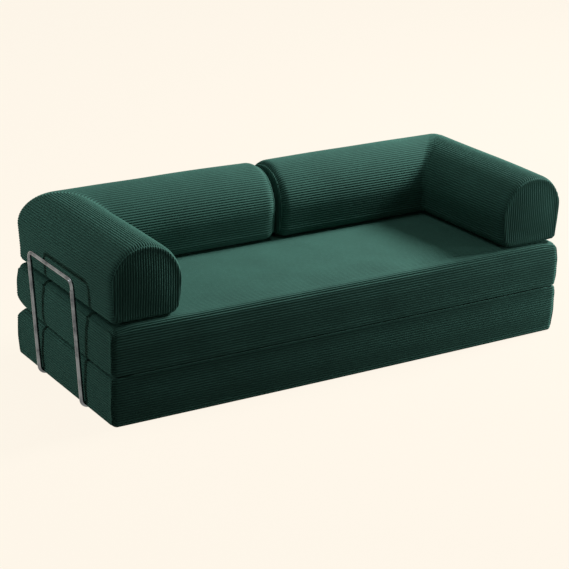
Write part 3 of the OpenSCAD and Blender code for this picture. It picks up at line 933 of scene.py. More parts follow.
@dataclass
class MattressLayer(PaddedForm):
    """One layer of the mattress: a firm block with round edges that is drawn in at its seam.

    Its height is counted from the seam face: upwards in the upper layer, downwards in the
    lower one, whose far face is the underside with the channels for the frames' feet.
    """

    size_x: float = 2.024
    front: float = -0.404
    rear: float = 0.410
    seam_z: float = 0.197
    upward: float = 1.0
    height: float = 0.189
    edge_radius: float = 0.032
    corner_radius: float = 0.024
    seam_radius: float = 0.008
    front_seam_radius: float = 0.002
    side_draw: float = 0.004
    front_draw: float = 0.004
    rear_draw: float = 0.026
    draw_height: float = 0.30
    draw_power: float = 1.7
    lean_from: float = 0.58
    end_reach: Pair = (0.26, 0.03)
    front_swell: float = 0.006
    still_front: Pair = (-0.34, -0.24)
    depth: float = 0.82
    crown: float = 0.006
    crown_start: float = 0.004
    crown_reach: float = 0.15
    seat_half: float = 0.74
    seat_rear: float = 0.15
    seat_front: float = 0.034
    seat_rim: float = 0.10
    bearing_band: Pair = (0.03, 0.004)
    free_rise: float = 0.05
    rib_fade: Pair = (-0.85, -0.5)
    base_fade: Pair = (0.985, 0.8)
    end_fall: float = 0.010
    fall_from: float = 0.90
    seam_band: Pair = (0.030, 0.016)
    welt_drop: float = 0.012
    welt_height: float = 0.0011
    welt_radius: float = 0.0024
    welt_groove: float = 0.0052
    welt_slope: float = 0.7
    groove_share: float = 0.9
    zip_y: Pair = (0.385, 0.405)
    zip_x: Pair = (0.92, 0.84)
    zip_reach: float = 0.035
    channels_x: tuple[float, ...] = ()
    channels_y: tuple[float, ...] = ()
    channel_end_x: float = 0.7175
    channel_end_y: float = 0.1275
    channel_half: float = 0.0110
    channel_spring: float = 0.0085
    channel_marks: tuple[float, ...] = (
        -1.15, -1.02, -0.97, -0.85, -0.62, -0.32, 0.0, 0.32, 0.62, 0.85, 0.97, 1.02, 1.15)
    wall_marks: tuple[float, ...] = (-0.0012, 0.0, 0.0012)

    def draw_share(self, up: np.ndarray) -> np.ndarray:
        """Share of the pull at the seam: (1 - height / its reach) ** draw_power."""
        reach = self.draw_height * self.height
        return np.clip(1.0 - np.abs(up) / reach, 0.0, 1.0) ** self.draw_power

    def section(self) -> np.ndarray:
        """Front, top and rear of the layer, seam face first, each side drawn in near the seam."""
        top = self.height - self.edge_radius
        up = np.concatenate([
            self.seam_radius * (1.0 - np.cos(np.linspace(0.0, np.pi / 2, 7))),
            np.linspace(self.seam_radius, top, 40)[1:]])
        turn = np.linspace(0.0, np.pi / 2, 20)[1:]
        radii = (self.front_seam_radius, self.seam_radius)
        leans = self.lean_from * self.height
        lean = self.side_draw * np.clip((up - leans) / (top - leans), 0.0, 1.0)
        heights = np.concatenate([up, top + self.edge_radius * np.sin(turn)])
        sides = []
        for radius, pull in zip(radii, (self.front_draw, self.rear_draw)):
            round_in = radius * (1.0 - np.sqrt(1.0 - np.clip(1.0 - up / radius, 0.0, 1.0) ** 2))
            side = round_in + lean + pull * self.draw_share(up)
            edge = self.side_draw + self.edge_radius * (1.0 - np.cos(turn))
            sides.append(np.concatenate([side, edge]))
        front = np.stack([self.front + sides[0], heights], axis=-1)
        rear = np.stack([self.rear - sides[1], heights], axis=-1)[::-1]
        return np.vstack([[[0.0, 0.0]], front, rear])

    def length(self) -> float:
        """Length along the middle of the form, between its two end faces."""
        return self.size_x

    def end_radius(self, end: int) -> float:
        """How far along the form an end turns over."""
        return self.corner_radius

    def face_swell(self) -> float:
        """How far the middle of an end face stands in front of its edge."""
        return 0.0

    def draw_sizes(self, end: int) -> Triple:
        """The ends have a round corner from above, and the edges' own radii on top and below."""
        return self.corner_radius, self.seam_radius, self.edge_radius + self.side_draw

    def straight_rows(self, first: float, last: float, fineness: Fineness) -> np.ndarray:
        """Places along the form of the rows between its two turned ends."""
        step = self.row_step if fineness is not Fineness.CAGE else self.cage_step
        even = np.linspace(first, last, round((last - first) / step) + 1)
        if fineness is Fineness.CAGE or not self.channels_x:
            return even
        wall = 0.0 if fineness is Fineness.CLOTH else self.wadding_inset
        marks = np.array(self.channel_marks) * (self.channel_half + wall)
        ends = self.channel_end_x - wall + np.array(self.wall_marks)
        extra = [self.size_x / 2 + sign * x + marks for x in self.channels_x for sign in (-1, 1)]
        extra += [self.size_x / 2 + sign * ends for sign in (-1, 1)]
        return np.unique(np.round(np.concatenate([even, *extra]), 5))

    def seam_share(self, up: np.ndarray) -> np.ndarray:
        """The seam sinks in along the seat's edge only."""
        low, high = (self.height - drop for drop in self.seam_band)
        return smooth_step(low, high, up) * (self.crown > 0.0)

    def panel_ribs(self, flat: np.ndarray, middle: float) -> np.ndarray:
        """The ribs lie level and go on from those of the front."""
        shares = np.arange(2000) / 4000
        line = walk(self.section(), shares)[0]
        front = np.flatnonzero((line[:, 1] > 1e-6) & (line[:, 1] < self.height - 1e-6))
        return np.interp(flat[..., 1], line[front, 1], shares[front] * self.rib_count())

    def panel_lines(self, low: float, high: float, height: float) -> tuple[np.ndarray, np.ndarray]:
        """Rows for level ribs, and columns that lie close at the edges and the foot channels."""
        near = np.array([0.0, 0.0008, 0.002, 0.0045, 0.008, 0.013, 0.02, 0.03])
        edge, step = 0.04, 0.024
        even = np.linspace(low + edge, high - edge, round((high - low - 2 * edge) / step) + 1)
        half = np.array(self.channel_marks) * self.channel_half
        wide = np.array(self.channel_marks) * (self.channel_half + self.wadding_inset)
        extra = [y + marks for y in self.channels_y for marks in (half, wide)]
        across = np.unique(np.round(np.concatenate([low + near, even, high - near, *extra]), 5))
        rows = np.linspace(0.0, 1.0, round(height / self.cloth.pitch * self.cloth.samples) + 1)
        return across, np.unique(np.concatenate([rows, [0.003, 0.008], [0.992, 0.997]]))

    def mark_across(self) -> np.ndarray:
        """Extra places round the section at the welts and on the foot channels."""
        shares = np.arange(6000) / 6000
        line, normal = walk(self.section(), shares)
        if self.crown > 0.0:
            at = np.flatnonzero(np.diff(np.sign(line[:, 1] - (self.height - self.welt_drop))) != 0)
            off = np.array([-6.8, -5.2, -4.0, -2.6, -1.3, 0.0, 1.3, 2.6, 4.0, 5.2, 6.8]) * 0.001
            return (shares[at][:, None] + off / line_length(self.section())).ravel()
        halves = self.channel_half + np.array([0.0, self.wadding_inset])
        marks = halves[:, None] * np.array(self.channel_marks)
        places = np.concatenate([(y + marks).ravel() for y in self.channels_y])
        beside = np.array(self.wall_marks)
        ends = self.channel_end_y + np.concatenate([beside - self.wadding_inset, beside])
        top = np.flatnonzero(line[:, 1] > self.height - 1e-6)
        return np.interp(np.concatenate([places, ends]), line[top, 0], shares[top])

    def place(self, across: np.ndarray, up: np.ndarray, along: np.ndarray,
              inset: float) -> np.ndarray:
        """Points in space: the ends draw in at the seam, the front swells, the seat is crowned.

        The crown is 1 - (1 - depth inside the seat's edges / its reach)^2.
        The top falls at the ends.

        Args:
            across: Distances to the rear.
            up: Heights over the seam face.
            along: Distances from the left end.
            inset: How far the form lies inside the cover's.

        Returns:
            The points.
        """
        x = along - self.size_x / 2
        rise = np.clip(across / self.depth + 0.5, 0.0, 1.0) ** 2
        pull = (self.front_draw + (self.rear_draw - self.front_draw) * rise) * self.draw_share(up)
        edge = self.height - self.edge_radius
        lean = self.side_draw * smooth_step(self.lean_from * self.height, edge, up)
        far, near = (self.size_x / 2 - reach for reach in self.end_reach)
        x = x - np.sign(x) * (pull + lean) * smooth_step(far, near, np.abs(x))
        still = smooth_step(0.9 * self.height, self.height, up)
        still = still * smooth_step(*self.still_front, across) if self.channels_y else 0.0
        swell = self.front_swell * (1.0 - (2.0 * x / self.size_x) ** 2)
        y = across - swell * (0.5 - across / self.depth) * (1.0 - still)
        inside = np.minimum(self.seat_half - np.abs(x), self.seat_rear - y)
        inside = np.minimum(inside, y - self.front - self.seat_front) - self.crown_start
        crown = 1.0 - (1.0 - np.clip(inside / self.crown_reach, 0.0, 1.0)) ** 2
        fall = self.end_fall * smooth_step(self.fall_from, 1.0, 2.0 * np.abs(x) / self.size_x)
        fall = fall * (self.crown > 0.0)
        z = up + (self.crown * crown - fall) * smooth_step(0.8 * self.height, self.height, up)
        z = self.seam_z + self.upward * z
        return np.stack([x, y, np.maximum(z, self.channel_height(x, y, inset))], axis=-1)

    def channel_height(self, x: np.ndarray, y: np.ndarray, inset: float) -> np.ndarray:
        """Height over the floor of the channels that the frames' feet lie in.

        Args:
            x: Places to the right.
            y: Places to the rear.
            inset: How far the form lies inside the cover's.

        Returns:
            Heights, 0 outside the channels: 8.5 mm + sqrt(half width^2 - distance^2) inside.
        """
        half = self.channel_half + inset
        height = np.zeros(np.broadcast(x, y).shape)
        rounds = [(y - place, np.abs(x) > self.channel_end_x - inset) for place in self.channels_y]
        rounds += [(np.abs(x) - place, y > self.channel_end_y - inset) for place in self.channels_x]
        for off, within in rounds:
            arch = self.channel_spring + np.sqrt(np.maximum(half**2 - off**2, 0.0))
            height = np.maximum(height, np.where((np.abs(off) <= half) & within, arch, 0.0))
        return height

    def centre(self) -> np.ndarray:
        """A point inside the form."""
        return np.array([0.0, 0.0, self.seam_z + self.upward * self.height / 2])

    def free(self, points: np.ndarray) -> np.ndarray:
        """The cloth may swell on the sides and the seat, not where it rests, or at the zip."""
        up = (points[..., 2] - self.seam_z) * self.upward
        low, high = (self.height - drop for drop in self.bearing_band)
        bearing = smooth_step(low, high, up)
        x, y = np.abs(points[..., 0]), points[..., 1]
        seat = np.minimum(self.seat_half - x, self.seat_rear - y)
        seat = smooth_step(0.0, self.seat_rim, seat) * (self.crown > 0.0)
        at_zip = smooth_step(*self.zip_y, y) * bell(up - self.height / 2, self.zip_reach)
        at_zip = at_zip * smooth_step(*self.zip_x, x)
        rising = smooth_step(0.0, self.free_rise, up)
        return rising * (1.0 - bearing * (1.0 - seat)) * (1.0 - at_zip)

    def ribbed(self, normal: np.ndarray) -> np.ndarray:
        """The face that rests on the other layer, and the underside, carry no real ribs."""
        real = smooth_step(*self.rib_fade, normal[:, 1])
        return real if self.crown > 0.0 else real * smooth_step(*self.base_fade, normal[:, 1])

    def trim(self, points: np.ndarray, flat: np.ndarray) -> np.ndarray:
        """The welt along the seat's edges: a thin cord in a shallow groove."""
        if self.crown <= 0.0:
            return np.zeros(flat.shape[:2])
        off = (flat[..., 1] - (self.height - self.welt_drop)) / self.welt_slope
        groove = bell(np.abs(off) - self.welt_groove, self.welt_radius)
        return self.welt_height * (bell(off, self.welt_radius) - self.groove_share * groove)


@dataclass
class Bolster(PaddedForm):
    """One L-shaped bolster, an arm and half of the back. It is worked out as the left one.

    Next to its ends, over square_end, its rows stay square to the arm and to the back.
    """

    side: Side = Side.LEFT
    width: float = 0.276
    height: float = 0.293
    side_height: float = 0.150
    inner_side_height: float = 0.125
    edge_radius: float = 0.026
    inner_edge_radius: float = 0.038
    bulge_out: float = 0.008
    bulge_rise: Pair = (0.24, 0.42)
    bulge_in: float = 0.016
    bulge_power: float = 0.8
    splay: float = 0.0
    splay_across: float = 0.4
    splay_reach: float = 0.74
    arm_radius: float = 0.032
    back_radius: float = 0.045
    swell_out: float = 0.006
    droop: float = 0.005
    droop_reach: float = 0.30
    droop_power: float = 1.6
    square_end: float = 0.1
    stands_z: float = 0.3863
    middle_up: float = 0.14
    outer_x: float = -1.0
    outer_y: float = 0.410
    arm_front: float = -0.390
    back_end: float = -0.0015
    outer_turn: float = 0.036
    inner_turn: float = 0.014
    mitre_depth: float = 0.0012
    mitre_width: float = 0.006
    rib_fade: Pair = (-0.95, -0.7)
    zip_y: Pair = (0.39, 0.405)
    zip_up: float = 0.055
    zip_reach: float = 0.03
    zip_start: Pair = (-0.92, -0.86)
    zip_end: Pair = (-0.10, -0.16)

    def mirror(self) -> float:
        """Return -1 for the right bolster."""
        return -float(self.side.value)

    def section(self) -> np.ndarray:
        """The closed section: underside, outer side, half an ellipse on top, fuller inner side.

        The outer side leans out evenly from its round lower edge to its fullest height.
        """
        low = np.linspace(-np.pi / 2, -np.pi, 10)
        over = np.linspace(np.pi, 0.0, 60)
        half = self.width / 2
        turned = np.stack([1.0 + np.cos(low), 1.0 + np.sin(low)], axis=-1)
        left = self.edge_radius * turned
        side = np.where(over > np.pi / 2, self.side_height, self.inner_side_height)
        rise = side + (self.height - side) * np.sin(over)
        top = np.stack([half + half * np.cos(over), rise], axis=-1)
        right = np.array([self.width, 0.0]) + self.inner_edge_radius * turned[::-1] * [-1.0, 1.0]
        line = np.vstack([[[half, 0.0]], left, top, right])
        offset = line[:, 0] / half - 1.0
        share = np.clip(line[:, 1] / self.height, 0.0, 1.0)
        full = (4.0 * share * (1.0 - share)) ** self.bulge_power
        out = self.bulge_out * smooth_step(*self.bulge_rise, share)
        inner, outer = np.maximum(offset, 0.0), np.minimum(offset, 0.0)
        line[:, 0] += full * (self.bulge_in * inner + out * outer)
        return line

    def runs(self, share: np.ndarray) -> tuple[np.ndarray, np.ndarray, np.ndarray]:
        """Sizes of the line at a share of the width from the outer face.

        Args:
            share: Shares of the width.

        Returns:
            The lengths of the arm's and the back's straight parts, and the turn's radius.
        """
        turn = self.outer_turn + (self.inner_turn - self.outer_turn) * share
        off = share * self.width
        arm = self.outer_y - off - turn - self.arm_front
        back = self.back_end - self.outer_x - off - turn
        return arm, back, turn

    def length(self) -> float:
        """Length along the middle of the form, between its two end faces."""
        arm, back, turn = self.runs(np.array(0.5))
        return float(arm + back + turn * np.pi / 2)

    def end_radius(self, end: int) -> float:
        """How far along the form an end turns over."""
        return self.arm_radius if end == 0 else self.back_radius

    def face_swell(self) -> float:
        """How far the middle of an end face stands in front of its edge."""
        return self.swell_out

    def draw_sizes(self, end: int) -> Triple:
        """The top draws in by the turn's radius, the sides by 0.8 of it, the underside by half."""
        radius = self.end_radius(end)
        return 0.8 * radius, 0.5 * radius, radius

    def straight_rows(self, first: float, last: float, fineness: Fineness) -> np.ndarray:
        """Places along the form of the rows between its two turned ends."""
        arm, _, turn = (float(value) for value in self.runs(np.array(0.5)))
        arc = turn * np.pi / 2
        step, turns = self.row_step, 10
        if fineness is Fineness.CAGE:
            step, turns = self.cage_step, 4
        return np.concatenate([
            np.linspace(first, arm, round((arm - first) / step) + 1),
            arm + arc * np.arange(1, turns) / turns,
            np.linspace(arm + arc, last, round((last - arm - arc) / step) + 1)])

    def place(self, across: np.ndarray, up: np.ndarray, along: np.ndarray,
              inset: float) -> np.ndarray:
        """Points in space: along the arm, round the corner and along the back.

        The splay moves the corner's top and inner side inwards, and falls to 0 at the arm's front,
        at the back's end and on the outer face.

        Args:
            across: Distances from the outer face.
            up: Heights over the seat.
            along: Distances from the arm's front along the middle.
            inset: How far the form lies inside the cover's. Not used here.

        Returns:
            The points.
        """
        arm, back, turn = self.runs(across / self.width)
        mid_arm, mid_back, mid_turn = (float(value) for value in self.runs(np.array(0.5)))
        arc = mid_turn * np.pi / 2
        corner_x, corner_y = self.outer_x + across, self.outer_y - across
        bend = np.clip((along - mid_arm) / arc, 0.0, 1.0) * np.pi / 2
        on_arm = np.minimum(along, mid_arm)
        share = np.clip((on_arm - self.square_end) / (mid_arm - self.square_end), 0.0, 1.0)
        y_arm = self.arm_front + on_arm + (arm - mid_arm) * share
        on_back = np.minimum(mid_arm + arc + mid_back - along, mid_back)
        share = np.clip((on_back - self.square_end) / (mid_back - self.square_end), 0.0, 1.0)
        x_back = self.back_end - on_back - (back - mid_back) * share
        x = np.where(along > mid_arm + arc, x_back, corner_x + turn * (1.0 - np.cos(bend)))
        y = np.where(along < mid_arm, y_arm, corner_y - turn * (1.0 - np.sin(bend)))
        to_front = np.clip((y - self.arm_front) / (self.outer_y - self.arm_front), 0.0, 1.0)
        inwards = smooth_step(0.0, self.splay_across, across / self.width)
        from_end = np.clip((self.back_end - x) / self.splay_reach, 0.0, 1.0)
        x = x + self.splay * inwards * to_front * from_end
        to_end = np.minimum(along, mid_arm + arc + mid_back - along)
        sunk = self.droop * np.clip(1.0 - to_end / self.droop_reach, 0.0, 1.0) ** self.droop_power
        high = np.clip((up - self.side_height) / (self.height - self.side_height), 0.0, 1.0)
        return np.stack([x, y, self.stands_z + up - sunk * high], axis=-1)

    def centre(self) -> np.ndarray:
        """A point inside the form, where the arm meets the back."""
        half = self.width / 2
        return np.array(
            [self.outer_x + half, self.outer_y - half, self.stands_z + self.middle_up])

    def free(self, points: np.ndarray) -> np.ndarray:
        """The cloth may swell but where it stands on the seat, and at the zip."""
        up, x, y = points[..., 2] - self.stands_z, points[..., 0], points[..., 1]
        at_zip = smooth_step(*self.zip_y, y) * bell(up - self.zip_up, self.zip_reach)
        at_zip = at_zip * smooth_step(*self.zip_start, x)
        at_zip = at_zip * smooth_step(*self.zip_end, x)
        return smooth_step(0.0, self.free_rise, up) * (1.0 - at_zip)

    def ribbed(self, normal: np.ndarray) -> np.ndarray:
        """The underside carries no real ribs."""
        return smooth_step(*self.rib_fade, normal[:, 1])

    def trim(self, points: np.ndarray, flat: np.ndarray) -> np.ndarray:
        """The seam where the arm's cloth meets the back's, in the upright plane of the mitre."""
        off = ((points[..., 0] - self.outer_x) - (self.outer_y - points[..., 1])) / math.sqrt(2.0)
        return -self.mitre_depth * bell(off, self.mitre_width)


def new_piece(name: str, points: np.ndarray, faces: np.ndarray) -> bpy.types.Object:
    """Make an object from points and four-cornered faces, at the origin."""
    data = bpy.data.meshes.new(name)
    data.from_pydata(points.tolist(), [], faces.tolist())
    piece = bpy.data.objects.new(name, data)
    bpy.context.scene.collection.objects.link(piece)
    return piece


@dataclass
class BaseCloth:
    """The non-slip cloth under the mattress, slit for the frames' feet."""

    half_x: float = 0.974
    front: float = -0.372
    rear: float = 0.384
    low: float = 0.00005
    high: float = 0.0009
    slit_half: float = 0.0105
    slits_y: tuple[float, ...] = (-0.178, 0.178)
    slits_x: tuple[float, ...] = (0.272, 0.628)
    slit_end_x: float = 0.7175
    slit_end_y: float = 0.1275
    step: float = 0.06

    def marks(self, low: float, high: float, extra: list[float]) -> np.ndarray:
        """Grid lines from low to high that include the slits' edges."""
        even = np.linspace(low, high, round((high - low) / self.step) + 1)
        return np.unique(np.round(np.concatenate([even, extra]), 5))

    def build(self) -> bpy.types.Object:
        """Make the cloth from a grid's squares, without those in a slit, closed at its edges."""
        edges_x = [
            side * (x + edge * self.slit_half)
            for x in self.slits_x for side in (-1, 1) for edge in (-1, 1)]
        edges_y = [y + edge * self.slit_half for y in self.slits_y for edge in (-1, 1)]
        x = self.marks(-self.half_x, self.half_x, [*edges_x, -self.slit_end_x, self.slit_end_x])
        y = self.marks(self.front, self.rear, [*edges_y, self.slit_end_y])
        mid_x, mid_y = np.meshgrid((x[:-1] + x[1:]) / 2, (y[:-1] + y[1:]) / 2, indexing="ij")
        cut = np.zeros(mid_x.shape, bool)
        for place in self.slits_y:
            cut |= (np.abs(mid_y - place) < self.slit_half) & (np.abs(mid_x) > self.slit_end_x)
        for place in self.slits_x:
            cut |= (np.abs(np.abs(mid_x) - place) < self.slit_half) & (mid_y > self.slit_end_y)
        i, j = np.nonzero(~cut)
        outline = np.stack([
            np.stack([x[i], y[j]], -1), np.stack([x[i + 1], y[j]], -1),
            np.stack([x[i + 1], y[j + 1]], -1), np.stack([x[i], y[j + 1]], -1)], axis=1)
        corners, number = np.unique(
            np.round(outline.reshape(-1, 2), 6), axis=0, return_inverse=True)
        squares = number.reshape(-1, 4)
        edges = np.stack([squares, np.roll(squares, -1, axis=1)], axis=-1).reshape(-1, 2)
        keys = set(map(tuple, edges.tolist()))
        rim = np.array([edge for edge in edges.tolist() if (edge[1], edge[0]) not in keys])
        count = len(corners)
        walls = np.column_stack([rim[:, 0], rim[:, 1], rim[:, 1] + count, rim[:, 0] + count])
        points = np.vstack([
            np.column_stack([corners, np.full(count, self.low)]),
            np.column_stack([corners, np.full(count, self.high)])])
        faces = np.vstack([squares[:, ::-1], squares + count, walls])
        piece = new_piece("base_cloth", points, faces)
        sizes = outline[:, 2] - outline[:, 0]
        float(sizes.prod(axis=1).sum())
        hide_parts("lower_base_cloth")
        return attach(piece, "lower_layer")


@dataclass
class FoldTape:
    """The web that joins the two layers: it lies in the seam and turns over at the front."""

    half_x: float = 0.955
    front: float = -0.404
    front_swell: float = 0.006
    swell_share: float = 0.985
    clearance: float = 0.0004
    width: float = 0.045
    fold_z: float = 0.196
    fold_y: float = -0.4105
    outer: float = 0.00090
    inner: float = 0.00032
    size_x: float = 2.0

    def build(self) -> bpy.types.Object:
        """Make the web: a folded strip of even thickness, swept from side to side."""
        turn = np.linspace(-np.pi / 2, -3 * np.pi / 2, 13)
        line = []
        for radius, angles in ((self.outer, turn), (self.inner, turn[::-1])):
            flat = np.stack([radius * np.cos(angles), radius * np.sin(angles)], axis=-1)
            line.append(np.array([[self.width, flat[0, 1]], *flat, [self.width, flat[-1, 1]]]))
        profile = np.vstack(line)
        x = np.linspace(-self.half_x, self.half_x, 65)
        swell = self.front_swell * (1.0 - (2 * x / self.size_x) ** 2) * self.swell_share
        y = (self.front - swell + self.clearance)[:, None] + profile[:, 0]
        piece = swept("fold_tape", x, y, self.fold_z + profile[:, 1], [0, 1])
        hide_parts("lower_fold_tape", "upper_fold_tape")
        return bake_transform(piece)


@dataclass
class ZipTape:
    """A zip on an upright face that looks to the rear: two tapes and their teeth."""

    node: str
    body: str
    cover: str
    left: float
    right: float
    height: float
    face_y: float = 0.410
    tape_half: float = 0.012
    tape_thickness: float = 0.0007
    tooth_pitch: float = 0.0030
    tooth_size: Triple = (0.0019, 0.0011, 0.0030)
    tooth_taper: Triple = (0.62, 0.0, 0.78)
    tooth_shift: float = 0.0007
    stop: float = 0.005

    def build(self) -> tuple[bpy.types.Object, bpy.types.Object]:
        """Make the tape, with a raised rim by the teeth, and the row of teeth.

        Returns:
            The tape and the teeth.
        """
        profile = np.array([
            [0.0, -1.0], [0.8, -0.98], [1.0, -0.9], [1.0, -0.34], [1.35, -0.26],
            [1.35, 0.26], [1.0, 0.34], [1.0, 0.9], [0.8, 0.98], [0.0, 1.0],
        ]) * [self.tape_thickness, self.tape_half]
        x = np.linspace(self.left, self.right, 33)
        y, z = self.face_y + profile[:, 0], self.height + profile[:, 1]
        tape = swept(self.node + "_tape", x, y, z, [0, 2])
        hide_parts(self.node)
        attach(tape, self.body)
        teeth = self.teeth()
        return tape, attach(teeth, self.body)

    def teeth(self) -> bpy.types.Object:
        """Make the teeth: blocks that narrow outwards, by turns above and below the middle."""
        count = int((self.right - self.left - 2 * self.stop) / self.tooth_pitch)
        place = self.left + self.stop + (np.arange(count) + 0.5) * self.tooth_pitch
        shift = np.where(np.arange(count) % 2 == 0, self.tooth_shift, -self.tooth_shift)
        base = np.array([[-1, 0, -1], [1, 0, -1], [1, 0, 1], [-1, 0, 1]], float)
        top = base * self.tooth_taper + [0, 1, 0]
        width, depth, height = self.tooth_size
        block = np.vstack([base, top]) * [width / 2, depth, height / 2]
        on_tape = np.full(count, self.face_y + self.tape_thickness)
        origin = np.stack([place, on_tape, self.height + shift], axis=-1)
        faces = np.array([
            [0, 3, 2, 1], [4, 5, 6, 7], [0, 1, 5, 4], [1, 2, 6, 5], [2, 3, 7, 6], [3, 0, 4, 7]])
        faces = (faces[None, :, ::-1] + 8 * np.arange(count)[:, None, None]).reshape(-1, 4)
        points = (origin[:, None] + block[None]).reshape(-1, 3)
        return new_piece(self.node + "_teeth", points, faces)


class Wires:
    """A material's or a group's nodes, made and joined in short calls."""

    def __init__(self, tree: bpy.types.NodeTree) -> None:
        """Start with an empty tree."""
        self.tree = tree
        tree.nodes.clear()

    def node(self, kind: str, inputs: dict | None = None, **settings: object) -> bpy.types.Node:
        """Add a node.

        Args:
            kind: The node's type without its leading ShaderNode.
            inputs: Values or sockets for the node's inputs, by name or number.
            settings: The node's own settings.

        Returns:
            The node.
        """
        made = self.tree.nodes.new("ShaderNode" + kind)
        for key, value in settings.items():
            setattr(made, key, value)
        self.feed(made, inputs or {})
        return made

    def feed(self, node: bpy.types.Node, inputs: dict) -> None:
        """Feed a node's inputs.

        Args:
            node: The node.
            inputs: Values or sockets for its inputs, by name or number.
        """
        for key, value in inputs.items():
            if isinstance(value, bpy.types.NodeSocket):
                self.tree.links.new(value, node.inputs[key])
            else:
                node.inputs[key].default_value = value

    def math(self, operation: str, first: object, second: object = 0.0,
             clamp: bool = False) -> Socket:
        """Add a sum, product or other step between two numbers, and return its result."""
        inputs = {0: first, 1: second}
        return self.node("Math", inputs, operation=operation, use_clamp=clamp).outputs[0]

    def total(self, first: object, second: object) -> Socket:
        """Add two numbers up, and return the result."""
        return self.math("ADD", first, second)

    def product(self, first: object, second: object) -> Socket:
        """Multiply two numbers, and return the result."""
        return self.math("MULTIPLY", first, second)

    def difference(self, first: object, second: object) -> Socket:
        """Take the second number from the first, and return the result."""
        return self.math("SUBTRACT", first, second)

    def blend(self, share: object, first: object, second: object, kind: str = "MIX") -> Socket:
        """Mix two colours by a share, and return the result."""
        inputs = {0: share, 6: first, 7: second}
        return self.node("Mix", inputs, data_type="RGBA", blend_type=kind).outputs[2]

    def ramp(self, value: object, low: object, high: object, to_low: float,
             to_high: float) -> Socket:
        """Carry a number from one range to another, and return the result."""
        return self.node("MapRange", {0: value, 1: low, 2: high, 3: to_low, 4: to_high}).outputs[0]

    def noise(self, vector: object, scale: object, detail: float,
              roughness: float = 0.5) -> Socket:
        """Add noise, and return its value."""
        return self.node("TexNoise", {
            "Vector": vector, "Scale": scale, "Detail": detail, "Roughness": roughness}).outputs[0]

    def place(self) -> Socket:
        """Return the object's own coordinates."""
        return self.node("TexCoord").outputs["Object"]


def group(name: str, inputs: dict[str, object],
          outputs: dict[str, str]) -> tuple[Wires, dict, bpy.types.NodeTree]:
    """Start a shader node group.

    Args:
        name: The group's name.
        inputs: Names and default values: a number for a value, four numbers for a colour.
        outputs: Names and kinds of sockets.

    Returns:
        The wires to fill it with, its inputs' sockets by name, and the group.
    """
    tree = bpy.data.node_groups.new(name, "ShaderNodeTree")
    wires = Wires(tree)
    for key, value in inputs.items():
        kind = "NodeSocketColor" if isinstance(value, tuple) else "NodeSocketFloat"
        tree.interface.new_socket(key, in_out="INPUT", socket_type=kind).default_value = value
    for key, kind in outputs.items():
        tree.interface.new_socket(key, in_out="OUTPUT", socket_type=kind)
    entry = tree.nodes.new("NodeGroupInput")
    return wires, {key: entry.outputs[key] for key in inputs}, tree


def finish_group(wires: Wires, results: dict[str, Socket]) -> None:
    """Join a group's results to its outputs."""
    leave = wires.tree.nodes.new("NodeGroupOutput")
    for key, socket in results.items():
        wires.tree.links.new(socket, leave.inputs[key])


def corduroy_group() -> bpy.types.NodeTree:
    """Make the ribbed cloth's pattern, on the piece's own cloth coordinates.

    Ridge is |sin(pi ribs)| ** RIB_FULLNESS. Pile is fine noise drawn out along the ribs, and
    tuft varies from rib to rib. Crushed is broad noise that turns the nap. Height adds the ribs
    where the shape leaves them out, and the pile. The colour paints shade into the lines
    between the ribs, and a paler colour on their tops for rubbed pile and a painted highlight.

    Returns:
        The group, with outputs Colour, Roughness and Height.
    """
    wires, use, tree = group(
        "Ribbed cloth",
        {"Line colour": BLACK, "Rib colour": BLACK, "Worn colour": BLACK,
         "Line width": 0.5, "Nap": 0.2, "Wear": 0.1, "Rib height": 1.0},
        {"Colour": "NodeSocketColor", "Roughness": "NodeSocketFloat", "Height": "NodeSocketFloat"})
    parts = wires.node("SeparateXYZ", {0: wires.node("UVMap", uv_map="Cloth").outputs[0]})
    ribs, along = parts.outputs[0], parts.outputs[1]
    wave = wires.math("SINE", wires.product(ribs, math.pi))
    ridge = wires.math("POWER", wires.math("ABSOLUTE", wave), RIB_FULLNESS)
    pile_at = wires.node("CombineXYZ", {
        0: wires.product(ribs, 6.0), 1: wires.product(along, 260.0)}).outputs[0]
    pile = wires.noise(pile_at, 1.0, 3.0, 0.6)
    tuft_at = wires.node("CombineXYZ", {
        0: wires.math("FLOOR", ribs), 1: wires.product(along, 34.0)}).outputs[0]
    tuft = wires.noise(tuft_at, 1.0, 2.0)
    crushed = wires.noise(wires.place(), 5.5, 4.0, 0.55)
    # Painted shade: low on the ridge wave, in the lines between the ribs, the colour turns to the
    # darker groove colour, standing in for shade in the grooves.
    clear_of_groove_shade = wires.ramp(ridge, 0.0, use["Line width"], 0.0, 1.0)
    colour = wires.blend(clear_of_groove_shade, use["Line colour"], use["Rib colour"])
    # Painted highlight: on the ribs' tops, where the tuft noise is high, the colour turns paler,
    # for rubbed pile together with light caught on the ridges.
    worn = wires.product(
        wires.ramp(ridge, 0.75, 1.0, 0.0, 1.0), wires.ramp(tuft, 0.45, 0.75, 0.0, 1.0))
    colour = wires.blend(wires.product(worn, use["Wear"]), colour, use["Worn colour"])
    lean = wires.total(
        wires.product(wires.difference(crushed, 0.5), 1.6),
        wires.product(wires.difference(pile, 0.5), 1.3))
    shade = wires.total(wires.product(lean, use["Nap"]), 1.0)
    grey = wires.node("CombineColor", {0: shade, 1: shade, 2: shade}).outputs[0]
    colour = wires.blend(1.0, colour, grey, "MULTIPLY")
    bump = wires.node("Attribute", attribute_name="Bump").outputs["Fac"]
    height = wires.total(
        wires.product(wires.product(ridge, bump), use["Rib height"]), wires.product(pile, 0.10))
    rough = wires.ramp(pile, 0.3, 0.7, 0.78, 0.92)
    finish_group(wires, {"Colour": colour, "Roughness": rough, "Height": height})
    return tree


